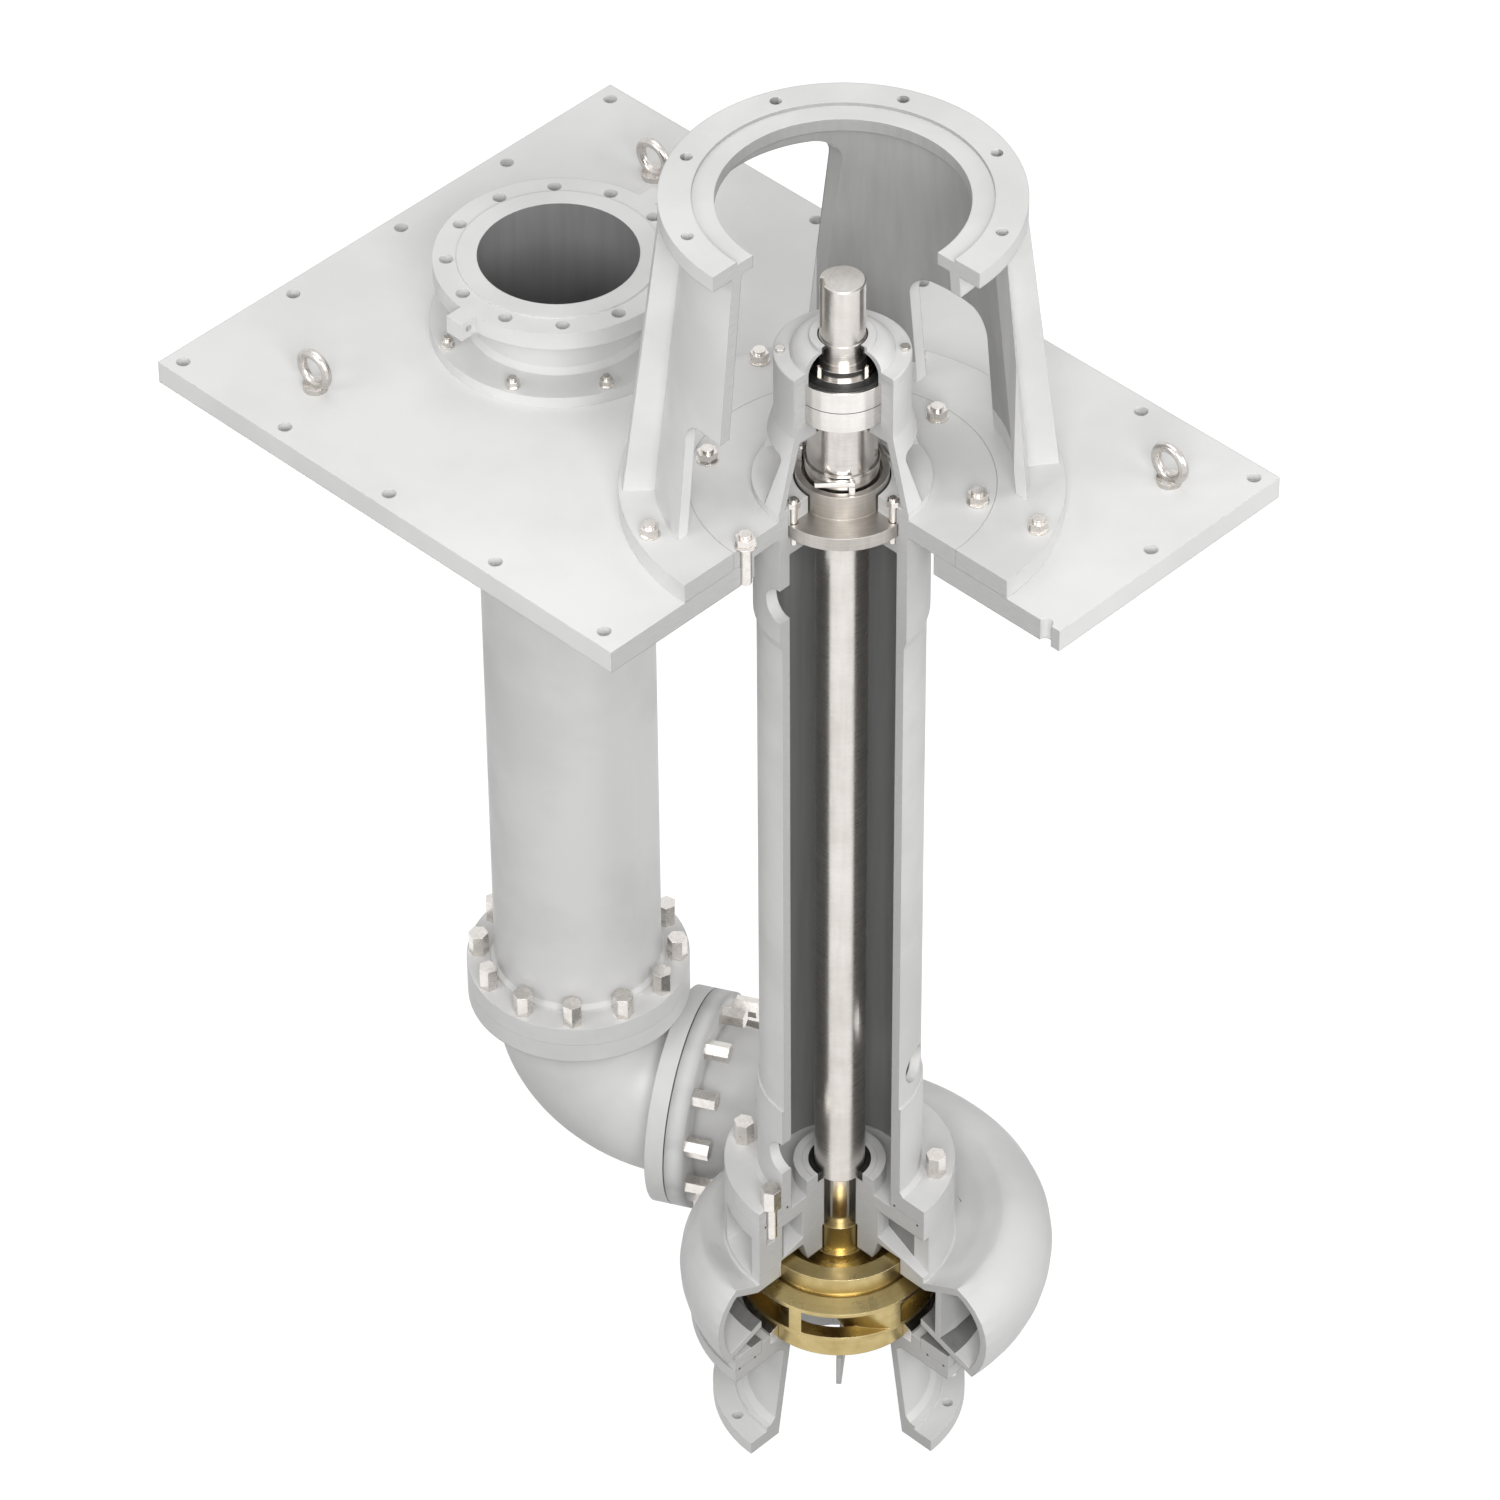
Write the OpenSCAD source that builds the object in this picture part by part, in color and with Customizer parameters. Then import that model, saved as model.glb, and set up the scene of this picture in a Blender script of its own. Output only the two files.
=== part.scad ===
// Vertical long-shaft centrifugal pump, shown with one quadrant of its castings left out.
// Millimetres, +Z up. The origin is the pump axis on the underside of the base plate.

/* [Shown] */
// Sub-part to draw
// Leave out the quadrant X > 0, Y < 0 of the castings, as in a sectioned display pump
cutaway = true; // [true, false]

/* [Base plate] */
// Pump axis to the edge on the discharge side
plate_left = 1000; // [700:10:1400]
// Pump axis to the opposite edge
plate_right = 450; // [350:10:800]
// Plate width
plate_w = 1000; // [700:10:1400]
// Plate thickness
plate_t = 40; // [20:1:60]
// Opening for the column and its foot flange
plate_bore_r = 192; // [150:1:230]
// Foundation hole radius
plate_hole_r = 11; // [6:0.5:16]
// Foundation hole to plate edge
plate_hole_inset = 28; // [20:1:60]
// Foundation holes along the long edge
plate_holes_x = 7; // [3:1:12]
// Foundation holes along the short edge
plate_holes_y = 5; // [3:1:12]

/* [Lifting eyes] */
// Eye position on the discharge side
eye_left_x = 775; // [500:5:900]
// Eye position on the opposite side
eye_right_x = 335; // [200:5:420]
// Eye distance either side of the middle
eye_y = 374; // [250:2:450]
// Ring centre-line radius
eye_ring_r = 28; // [15:1:45]
// Ring wire radius
eye_wire_r = 8; // [4:0.5:14]
// Collar radius
eye_collar_r = 20; // [12:1:35]
// Collar height
eye_collar_h = 10; // [5:1:20]
// Ring centre above the plate
eye_rise = 38; // [25:1:70]
// Shank radius
eye_shank_r = 10; // [6:0.5:16]
// Shank length in the plate
eye_shank_len = 30; // [15:1:38]

/* [Motor stand] */
// Plate top to the motor face
stand_h = 584; // [400:2:800]
// Motor flange radius
motor_flange_r = 275; // [200:1:340]
// Motor flange thickness
motor_flange_t = 28; // [18:1:45]
// Motor bolt circle radius
motor_pitch_r = 250; // [170:1:310]
// Motor bolt holes
motor_holes = 8; // [4:4:12]
// Motor bolt hole radius
motor_hole_r = 9.25; // [6:0.25:14]
// Locating recess radius for the motor spigot
register_r = 225; // [150:1:280]
// Locating recess depth
register_deep = 6; // [3:1:10]
// Opening inside the motor flange
motor_bore_r = 191; // [120:1:220]
// Web inner radius under the motor flange
web_top_in_r = 215; // [180:1:260]
// Web inner radius above the foot ring
web_foot_in_r = 266; // [220:1:320]
// Web thickness at the top
web_top_t = 20; // [10:1:30]
// Web thickness at the foot
web_foot_t = 20; // [10:1:30]
// Foot ring outer radius
stand_foot_r = 342; // [280:1:420]
// Foot ring thickness
stand_foot_t = 35; // [20:1:50]
// Width of the two tall windows
tall_window_w = 320; // [200:2:400]
// Height of the tall windows above the foot ring
tall_window_h = 485; // [300:5:500]
// Width of the two low windows
low_window_w = 162; // [100:2:260]
// Height of the low windows
low_window_h = 225; // [100:5:400]
// Corner radius of the windows
window_corner_r = 40; // [10:1:60]
// Fin thickness
fin_t = 30; // [12:1:45]
// Fin outer radius under the motor flange
fin_top_r = 272; // [240:1:290]
// Fin outer radius at the foot ring
fin_foot_r = 335; // [300:1:345]
// Fin directions round the stand
fin_angles = [53.5, 126.5, 225.5]; // [0:0.5:360]
// Foot bolt circle radius
stand_pitch_r = 318; // [290:1:400]
// Foot bolts in a full circle
stand_bolt_n = 8; // [4:4:16]

/* [Column] */
// Head disc radius
head_r = 236.3; // [200:0.1:300]
// Head disc thickness
head_t = 35; // [20:1:50]
// Head bolt circle radius
head_pitch_r = 212; // [195:1:230]
// Head bolts in a full circle
head_bolt_n = 6; // [4:1:12]
// Recess for the seal plate and bracket spigot
head_recess_r = 118; // [90:0.5:130]
// Depth of the recess below the head face
head_recess_deep = 43; // [20:1:60]
// Opening in the seal ledge
ledge_bore_r = 84; // [60:1:100]
// Seal ledge thickness
ledge_t = 35; // [15:1:60]
// Column inside radius
column_in_r = 115.5; // [80:0.5:130]
// Thick upper part outside radius
column_head_r = 137.5; // [110:0.5:160]
// Length of the thick upper part
column_head_len = 210; // [100:5:400]
// Tube outside radius
column_r = 132; // [100:1:150]
// Chamfer height from the thick part to the tube
column_chamfer = 19; // [5:1:40]
// Collar radius near the foot
column_collar_r = 136; // [110:1:160]
// Collar length above the foot flange
column_collar_len = 197; // [80:1:300]
// Plate top to the underside of the foot flange
column_len = 1450; // [800:10:3000]
// Foot flange radius
column_foot_r = 191; // [150:1:230]
// Foot flange thickness
column_foot_t = 34; // [20:1:50]
// Weld fillet at the foot flange
column_weld = 8; // [4:1:16]
// Foot bolt circle radius
column_pitch_r = 163; // [145:1:180]
// Foot bolts in a full circle
column_bolt_n = 6; // [4:1:12]
// Side opening radius
drain_hole_r = 33; // [15:1:45]
// Depth of the upper side opening
drain_top_deep = 137; // [90:1:400]
// Depth of the lower side openings
drain_foot_deep = 1328; // [700:1:1400]
// Depth of the rear side opening
drain_rear_deep = 1156; // [700:1:1400]
// Direction of the rear side opening
drain_rear_angle = 22; // [0:1:90]

/* [Bearing bracket] */
// Foot flange radius
bracket_foot_r = 139; // [120:1:170]
// Foot flange thickness
bracket_foot_t = 13; // [8:1:25]
// Locating spigot radius
bracket_spigot_r = 117.5; // [90:0.5:130]
// Opening for the seal gland
bracket_bore_r = 75; // [60:1:90]
// Skirt wall thickness
skirt_t = 13; // [6:1:20]
// Housing radius
housing_r = 105; // [90:1:130]
// Housing underside above the plate top
housing_floor_z = 162; // [120:1:220]
// Cone top above the plate top
skirt_top_z = 177; // [130:1:240]
// Housing top face above the plate top
housing_top_z = 278; // [230:1:340]
// Opening in the housing floor
housing_bore_r = 57; // [45:1:70]
// Skirt windows
skirt_windows = 4; // [3:1:6]
// Width of the skirt windows
skirt_window_w = 138; // [60:2:170]
// Skirt window corner radius
skirt_window_corner = 14; // [5:1:30]
// Height of the skirt windows
skirt_window_h = 92; // [40:1:120]

/* [Bearings] */
// Bearing outside radius
bearing_r = 80; // [50:1:120]
// Bearing bore radius
bearing_bore_r = 37.5; // [25:0.5:60]
// Width of one bearing
bearing_w = 37; // [20:1:50]
// Underside of the lower bearing above the plate top
bearing_z = 193.4; // [150:0.1:240]
// Outer ring wall
bearing_outer_t = 12.5; // [6:0.5:20]
// Inner ring wall
bearing_inner_t = 12.5; // [6:0.5:20]
// Ball radius
ball_r = 12.5; // [6:0.5:18]
// Balls in one row
ball_n = 9; // [6:1:14]
// Ball to race clearance
ball_gap = 0.1; // [0.05:0.05:0.3]
// Cage height
cage_h = 12.5; // [8:0.5:20]
// Cage ring radial width
cage_w = 8; // [4:1:14]

/* [Bearing cover] */
// Cover flange thickness
cover_t = 12; // [6:1:20]
// Cover dome foot radius
dome_r = 80; // [60:1:95]
// Dome rise above the flange
dome_h = 16; // [8:1:40]
// Dome wall thickness
dome_t = 6; // [3:0.5:12]
// Boss radius round the shaft
cover_boss_r = 51; // [45:1:70]
// Boss height above the flange
cover_boss_h = 29; // [12:1:50]
// Lip seal radius
lip_seal_r = 45; // [40:1:60]
// Lip seal height
lip_seal_h = 14; // [6:1:25]
// Lip seal rim thickness
lip_rim_t = 3; // [2:0.5:6]
// Lip seal web thickness
lip_web_t = 6; // [3:0.5:10]
// Screw circle radius
cover_pitch_r = 94; // [85:1:100]
// Cover screws in a full circle
cover_screw_n = 4; // [3:1:8]
// Screw shank radius
cover_screw_r = 4; // [2.5:0.5:8]
// Screw head radius across corners
cover_head_r = 8; // [5:0.5:14]
// Screw head height
cover_head_h = 6; // [3:0.5:10]
// Screw shank length below the cover
cover_screw_len = 18; // [8:1:30]

/* [Shaft] */
// Shaft top above the plate top
shaft_top_z = 425; // [330:1:560]
// Stub radius
stub_r = 35; // [20:0.5:60]
// Journal radius under the cover's lip seal
seal_journal_r = 36; // [20:0.5:60]
// Stub end chamfer
stub_chamfer = 2; // [0.5:0.5:5]
// Main shaft radius in the column
shaft_r = 42; // [25:0.5:70]
// Height of the main shaft's lower end above the foot joint
shaft_rise = 15; // [5:1:60]
// Stem sleeve radius
stem_r = 27; // [22:0.5:40]
// Lower journal radius inside the stem sleeve
journal_r = 20; // [12:0.5:40]
// Thread length in the impeller nut
thread_len = 16; // [8:1:40]
// Keyway width
key_w = 20; // [10:1:30]
// Keyway depth in the stub
key_deep = 7.5; // [4:0.5:12]
// Keyway length
keyway_len = 95; // [50:1:140]
// Keyway direction
key_angle = 236; // [0:1:360]
// Lock nut radius
lock_nut_r = 50; // [44:1:65]
// Lock nut thickness
lock_nut_t = 15; // [8:1:25]
// Lock nut slot width
lock_slot_w = 8; // [4:1:14]
// Lock nut slots
lock_slot_n = 4; // [4:2:8]
// Lock washer radius
lock_washer_r = 56; // [45:1:70]
// Lock washer thickness
lock_washer_t = 2; // [1:0.5:4]
// Spacer sleeve radius above the seal
spacer_r = 55; // [46:1:70]

/* [Shaft seal] */
// Seal plate radius
gland_plate_r = 117; // [90:0.5:130]
// Seal plate thickness
gland_plate_t = 24; // [12:1:40]
// Gland radius
gland_r = 72.5; // [60:0.5:85]
// Gland height above the seal plate
gland_h = 44; // [20:1:70]
// Gland bore
gland_bore_r = 48; // [44:0.5:60]
// Recess in the gland for the drive collar
gland_recess_r = 62; // [55:0.5:70]
// Recess depth
gland_recess_deep = 12; // [5:1:25]
// Drive collar radius
collar_r = 58; // [50:0.5:66]
// Drive collar height
collar_h = 38; // [20:1:60]
// Set screw radius in the drive collar
set_screw_r = 4; // [2:0.5:7]
// Set screws in the drive collar
set_screw_n = 3; // [2:1:6]
// Set screw height in the drive collar
set_screw_up = 24; // [8:1:30]
// Turn of the set screws
set_screw_turn = 45; // [0:1:120]
// Seal sleeve wall inside the gland
seal_sleeve_t = 3.5; // [2:0.5:6]
// Stud circle radius
stud_pitch_r = 107; // [95:1:112]
// Studs in a full circle
stud_n = 4; // [3:1:8]
// Stud radius
stud_r = 6; // [4:0.5:10]
// Stud length below the bracket flange
stud_len = 73; // [50:1:90]
// Stud standing out of its nut
stud_proud = 5; // [2:1:12]
// Stud nut radius across corners
stud_nut_r = 10.5; // [7:0.5:16]
// Stud nut height
stud_nut_h = 10; // [6:0.5:16]

/* [Guide bush] */
// Guide bush outside radius
bush_r = 37; // [32:0.5:50]
// Guide bush length below its flange
bush_len = 72; // [40:1:110]
// Bush flange radius
bush_flange_r = 52; // [45:0.5:65]
// Bush flange thickness
bush_flange_t = 19; // [8:1:30]
// Retaining ring radius
retainer_r = 62; // [56:0.5:72]
// Retaining ring thickness
retainer_t = 12; // [5:1:20]
// Lower lip seal height
stem_seal_h = 36; // [10:1:60]

/* [Volute casing] */
// Casing shoulder radius under the column
casing_top_r = 191; // [150:1:230]
// Casing top flange thickness
casing_flange_t = 34; // [20:1:50]
// Depth of the tapped holes for the column bolts
column_bolt_hole = 52; // [36:1:70]
// Well depth inside the column foot
casing_well = 5; // [2:1:12]
// Boss radius round the guide bush
casing_boss_r = 77; // [66:1:100]
// Boss height above the joint
casing_boss_h = 29; // [10:1:50]
// Hub radius in the side pockets
casing_hub_r = 88; // [70:1:110]
// Pocket floor flare outside the shoulder
pocket_flare = 28; // [10:1:60]
// Side pocket width
pocket_w = 92; // [40:2:140]
// Side pocket directions
pocket_angles = [70, 160, 250, 350]; // [0:1:360]
// Pocket floor at the hub below the joint
pocket_floor_in = 95; // [60:1:115]
// Pocket floor at the rim below the joint
pocket_floor_out = 127; // [100:1:135]
// Joint to the top of the back wear chamber
chamber_top = 111; // [80:1:130]
// Back wear chamber radius
chamber_r = 139.2; // [110:0.1:170]
// Nose under the hub, outer radius at its root
nose_root_r = 87; // [70:1:100]
// Nose outer radius at its tip
nose_tip_r = 76; // [60:1:90]
// Nose bore radius
nose_bore_r = 41; // [39:0.5:50]
// Joint to the nose tip
nose_tip = 152; // [120:1:170]
// Joint to the roof of the impeller chamber
roof_root = 146; // [120:1:165]
// Volute opening radius at the roof
roof_root_r = 195; // [175:1:230]
// Volute opening radius at the floor
floor_root_r = 190; // [175:1:230]
// Joint to the volute floor at its opening
floor_root = 218.5; // [190:0.5:250]
// Roof rise per millimetre outward
roof_slope = 0.53; // [0:0.01:1]
// Floor fall per millimetre outward
floor_slope = 0.36; // [0:0.01:1]
// Joint to the widest level of the volute
volute_mid = 180; // [160:1:210]
// First arc radius of the four-centre spiral
spiral_r = 222.5; // [200:0.5:260]
// Growth of the spiral for each quarter turn
spiral_step = 45; // [20:0.5:70]
// Rounding of the volute above its widest level
volute_upper_r = 78; // [50:1:120]
// Rounding of the volute below its widest level
volute_lower_r = 145; // [80:1:200]
// Part of the turn below the widest level that the rounding covers
volute_lower_sweep = 52; // [20:1:80]
// Length of the throat that reaches back into the spiral
nozzle_lead = 12; // [0:1:30]
// Casing wall thickness
casing_wall = 14; // [8:0.5:24]
// Splitter wall thickness
splitter_t = 11.5; // [6:0.5:20]
// Splitter inner radius at its start
splitter_r = 219.5; // [200:0.5:260]
// Cover joint radius
cover_joint_r = 250; // [220:1:280]
// Joint thickness on the casing side
cover_joint_t = 30; // [15:1:50]
// Joint to the suction cover joint
cover_joint = 294; // [260:1:330]
// Seat radius for the suction cover spigot
cover_seat_r = 187.3; // [160:0.1:210]

/* [Discharge nozzle] */
// Discharge pipe axis from the pump axis
pipe_x = 611; // [450:1:900]
// Direction of the outlet line seen from the pipe axis
outlet_angle = 27.1; // [0:0.1:60]
// Joint to the outlet centre line
outlet_deep = 185; // [150:1:220]
// Pipe axis to the outlet flange joint
outlet_joint = 206; // [150:1:300]
// Outlet throat width
throat_w = 150; // [80:2:180]
// Outlet throat height
throat_h = 136; // [80:2:170]
// Throat corner radius
throat_corner_r = 40; // [10:1:60]
// Throat centre from the pump axis
throat_off = 291; // [240:1:330]
// Pipe bore radius
pipe_bore_r = 127.5; // [60:0.5:160]
// Pipe outside radius
pipe_r = 141.3; // [70:0.1:175]
// Lower flange radius
pipe_flange_r = 188.6; // [150:0.1:220]
// Thickness of each flange at the upper elbow joint
pipe_flange_t = 37; // [18:0.5:45]
// Thickness of each flange at the outlet joint
side_flange_t = 33.5; // [18:0.5:45]
// Outlet centre line to the upper elbow joint
elbow_rise = 244; // [200:1:400]
// Lower flange bolt circle radius
pipe_pitch_r = 168; // [150:1:185]
// Bolts in each lower flange
pipe_bolt_n = 12; // [6:1:16]
// Turn of the vertical flange bolts
pipe_bolt_turn = 12; // [0:1:30]
// Weld collar at the lower flange
pipe_collar = 7; // [3:1:12]

/* [Discharge head] */
// Top flange radius
head_flange_r = 197.5; // [150:0.5:230]
// Top flange thickness
head_flange_t = 35; // [20:1:50]
// Top face above the plate top
head_flange_z = 143; // [90:1:240]
// Top flange bolt circle radius
head_flange_pitch = 175; // [150:1:205]
// Top flange holes
head_flange_holes = 12; // [4:1:16]
// Top flange hole radius
head_flange_hole_r = 11; // [6:0.5:16]
// Turn of the top flange holes
head_flange_turn = 17.3; // [0:0.1:30]
// Raised face radius
raised_face_r = 160; // [130:1:175]
// Raised face height
raised_face_h = 3; // [1:0.5:6]
// Lug width
lug_w = 34; // [20:1:60]
// Lug projection
lug_out = 30; // [10:1:60]
// Lug cross hole radius
lug_hole_r = 6; // [3:0.5:10]
// Sole ring radius
sole_r = 206; // [170:1:240]
// Sole ring thickness
sole_t = 20; // [12:1:40]
// Sole bolt circle radius
sole_pitch_r = 190; // [170:1:200]
// Sole bolts
sole_bolt_n = 8; // [4:4:16]
// Weld bead height on the sole ring
weld_h = 9; // [4:1:20]

/* [Impeller] */
// Impeller radius
impeller_r = 168; // [130:0.5:185]
// Hub radius
hub_r = 38.5; // [30:0.5:48]
// Joint to the hub top
hub_top = 99; // [80:1:120]
// Step ring radius on the hub
hub_ring_r = 47; // [40:0.5:60]
// Joint to the step ring top
hub_ring_top = 154; // [150:1:170]
// Back ring radius
back_ring_r = 138.6; // [110:0.1:160]
// Back ring inner radius
back_ring_in_r = 108; // [90:1:125]
// Joint to the back ring top
back_ring_top = 119.5; // [100:0.5:140]
// Back ring height
back_ring_h = 30.5; // [10:0.5:50]
// Groove height under the back ring
groove_h = 10; // [4:1:20]
// Groove depth
groove_deep = 7; // [3:1:14]
// Joint to the upper edge of the rim
rim_top = 171; // [160:1:185]
// Rim thickness
rim_t = 7; // [4:0.5:12]
// Joint to the lower edge of the outlet
outlet_low = 225; // [205:1:240]
// Hub flare radius below the step ring
flare_r = 51; // [45:1:70]
// Hub flare drop
flare_drop = 16; // [6:1:30]
// Hollow radius inside the back ring
hollow_r = 86; // [70:1:100]
// Hollow depth below the groove
hollow_drop = 4; // [1:1:10]
// Back shroud thickness at the back ring
back_shroud_t = 15; // [6:1:24]
// Waterway radius at the hub
waterway_r = 67; // [55:1:90]
// Waterway drop at the hub
waterway_drop = 26; // [12:1:40]
// Hub length below the outlet
hub_tail = 34; // [20:1:50]
// Hub nose taper
hub_nose = 6; // [2:1:12]
// Hub nose height
hub_nose_h = 14; // [6:1:24]
// Front shroud thickness at the eye
front_shroud_t = 14; // [6:1:24]
// Depth that a vane runs into each shroud
vane_root = 2; // [1:0.5:4]
// Front ring radius
front_ring_r = 147; // [120:0.5:165]
// Joint to the front ring top
front_ring_top = 250; // [235:1:265]
// Joint to the front ring foot
front_ring_foot = 289; // [270:1:293]
// Suction eye radius
eye_r = 120; // [90:1:135]
// Vanes
vane_n = 6; // [4:1:9]
// Vane thickness
vane_t = 11; // [5:0.5:18]
// Vane curve radius
vane_curve_r = 125; // [80:1:200]
// Vane curve centre from the axis
vane_off = 86; // [50:1:140]
// Impeller nut radius
impeller_nut_r = 36; // [25:1:50]
// Impeller nut length
impeller_nut_h = 26; // [15:1:50]

/* [Suction cover] */
// Upper flange thickness
suction_top_t = 26; // [15:1:40]
// Spigot radius
spigot_r = 187; // [160:0.5:210]
// Spigot height above the joint
spigot_h = 22; // [10:1:35]
// Throat radius
throat_r = 119.4; // [90:0.1:140]
// Throat length below the joint
throat_len = 36; // [15:1:60]
// Mouth inner radius
mouth_r = 147.5; // [120:0.5:180]
// Cone wall at the top
cone_top_t = 14; // [6:0.5:24]
// Cone wall at the mouth
cone_foot_t = 8; // [5:0.5:20]
// Fillet between the cone and its flanges
cone_fillet = 10; // [4:1:20]
// Joint to the mouth face
mouth_deep = 227; // [150:1:300]
// Mouth flange radius
mouth_flange_r = 214; // [180:1:250]
// Mouth flange thickness
mouth_flange_t = 25; // [15:1:40]
// Mouth bolt circle radius
mouth_pitch_r = 193; // [175:1:225]
// Mouth flange holes
mouth_holes = 8; // [4:4:16]
// Mouth flange hole radius
mouth_hole_r = 9; // [6:0.5:14]
// Turn of the mouth flange holes
mouth_turn = 26; // [0:1:45]
// Hub step radius above the mouth flange
mouth_step_r = 176; // [165:1:185]
// Hub step height
mouth_step_h = 9; // [3:1:20]
// Straightening vane thickness
rib_t = 14; // [6:1:24]
// Straightening vane direction
rib_angle = 135; // [0:1:360]
// Straightening vane width at the top
rib_top_w = 62; // [30:1:90]
// Straightening vane width at the mouth
rib_foot_w = 18; // [8:1:60]
// Cover bolt circle radius
cover_bolt_pitch = 226; // [215:1:235]
// Cover bolts in a full circle
cover_bolt_n = 8; // [4:1:16]
// Turn of the cover bolts
cover_bolt_turn = 8; // [0:1:45]
// Cover bolt radius
cover_bolt_r = 8; // [5:0.5:12]
// Cover bolt head radius across corners
cover_bolt_head_r = 14; // [8:0.5:20]
// Cover bolt head height
cover_bolt_head_h = 24; // [8:1:30]
// Cover bolt depth in the casing
cover_bolt_deep = 20; // [10:1:28]

/* [Wear ring] */
// Bore radius
wear_in_r = 147.5; // [120:0.1:165]
// Outside radius
wear_out_r = 166; // [155:0.5:180]
// Height above the joint
wear_rise = 37; // [25:1:45]
// Depth of the seat in the spigot
wear_seat = 19; // [10:1:30]
// Drop of the sloping top face
wear_slope = 9; // [0:1:15]

/* [Fasteners] */
// Stand and head bolt radius
bolt_r = 10; // [5:0.5:14]
// Nut radius across corners
nut_r = 16.5; // [10:0.5:24]
// Stand nut radius across corners
stand_nut_r = 15; // [10:0.5:24]
// Nut height
nut_h = 14; // [8:0.5:22]
// Washer radius
washer_r = 18; // [12:0.5:28]
// Washer thickness
washer_t = 3; // [1:0.5:5]
// Bolt end above the nut
bolt_proud = 6; // [2:1:14]
// Stand and head bolt reach below the plate top
bolt_reach = 38; // [20:1:60]
// Flange bolt radius
flange_bolt_r = 10; // [6:0.5:14]
// Flange bolt head radius across corners
flange_head_r = 17; // [12:0.5:24]
// Flange bolt head height
flange_head_h = 42; // [10:1:50]
// Small bolt radius
small_bolt_r = 6; // [4:0.5:12]
// Small nut radius across corners
small_nut_r = 10.5; // [8:0.5:18]
// Small nut height
small_nut_h = 10; // [6:0.5:16]

/* [Clearances] */
// Gap between a seated part and its seat wall
seat_gap = 0.3; // [0.1:0.05:0.6]
// Gap between a bolt and its clearance hole
bolt_gap = 1; // [0.3:0.1:2]
// Running gap of the shaft in its bush
running_gap = 0.08; // [0.02:0.01:0.1]
// Gap between parts mounted on the shaft
mount_gap = 0.02; // [0:0.01:0.05]

/* [Hidden] */
$fn = 96;
hex = 6;
half_turn = 180;
full_turn = 360;
quarter = 90;
// Extra length so that a cutter passes through a face
over = 1;
cut_reach = 4 * plate_left;
profile_steps = 6;
arcs = 4;
splitter_steps = 18;
head_recess_floor = head_t - head_recess_deep;
column_cavity_z = head_recess_floor - ledge_t;
foot_flange_z = column_foot_t - column_len;
joint_z = -column_len;
shaft_foot_z = joint_z + shaft_rise;
bracket_foot_top = head_t + bracket_foot_t;
gland_foot_z = head_recess_floor;
gland_plate_z = gland_foot_z + gland_plate_t;
gland_top_z = gland_plate_z + gland_h;
collar_z = gland_top_z - gland_recess_deep + seat_gap;
collar_top_z = collar_z + collar_h;
bearing_top_z = bearing_z + 2 * bearing_w;
lock_nut_z = bearing_top_z + lock_washer_t;
cover_face_z = housing_top_z + cover_t;
cover_boss_z = cover_face_z + cover_boss_h;
ball_pitch_r = (bearing_r - bearing_outer_t + bearing_bore_r + bearing_inner_t) / 2;
bush_top_z = joint_z + casing_boss_h;
bush_flange_z = bush_top_z - bush_flange_t;
bush_foot_z = shaft_foot_z - bush_len;
stem_end_z = joint_z - hub_top;
impeller_foot_z = joint_z - outlet_low - hub_tail;
outlet_z = joint_z - outlet_deep;
volute_mid_z = joint_z - volute_mid;
suction_z = joint_z - cover_joint;
mouth_z = suction_z - mouth_deep;
pipe_joint_z = outlet_z + elbow_rise;
outlet_foot = pipe_x * cos(outlet_angle);
outlet_offset = pipe_x * sin(outlet_angle);
nozzle_len = outlet_foot - outlet_joint;

paint = [0.86, 0.86, 0.87];
steel = [0.72, 0.71, 0.70];
bright = [0.83, 0.82, 0.81];
brass = [0.72, 0.61, 0.33];
black = [0.08, 0.08, 0.08];

// Lifts a piece from the plate top to the frame of the whole pump.
module on_plate() {
  translate([0, 0, plate_t]) children();
}

// Leaves out the display quadrant.
module sectioned() {
  difference() {
    children();
    if (cutaway)
      translate([0, -cut_reach, -cut_reach])
        cube([cut_reach, cut_reach, 2 * cut_reach]);
  }
}

// Solid of revolution from points of radius and height.
module turned(points) {
  rotate_extrude() polygon(points);
}

module tube(outer, inner, z, h) {
  translate([0, 0, z])
    difference() {
      cylinder(r = outer, h = h);
      translate([0, 0, -over]) cylinder(r = inner, h = h + 2 * over);
    }
}

// Copies at a radius, every copy of a full circle.
module ring_of(n, r, turn = 0) {
  for (k = [0 : n - 1])
    rotate(turn + k * full_turn / n) translate([r, 0, 0]) children();
}

// Copies at a radius, without those inside the quadrant left out.
module kept_ring_of(n, r, turn = 0) {
  for (k = [0 : n - 1]) {
    angle = (turn + k * full_turn / n) % full_turn;
    if (!cutaway || angle <= full_turn - quarter)
      rotate(angle) translate([r, 0, 0]) children();
  }
}

// Hexagonal prism with its lower edge plane at z = 0.
module hex_prism(r, h) {
  cylinder(r = r, h = h, $fn = hex);
}

// Nut on a washer with the bolt end standing out, seated on z = 0.
module nut_set(shank, nut, nut_height, reach) {
  cylinder(r = washer_r * nut / nut_r, h = washer_t);
  translate([0, 0, washer_t]) hex_prism(nut, nut_height);
  translate([0, 0, -reach]) cylinder(r = shank, h = reach + washer_t + nut_height + bolt_proud);
}

// Tall hexagon head bolt, seated on z = 0.
module head_bolt(shank, head, head_height, reach) {
  hex_prism(head, head_height);
  translate([0, 0, -reach]) cylinder(r = shank, h = reach + over);
}

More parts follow.
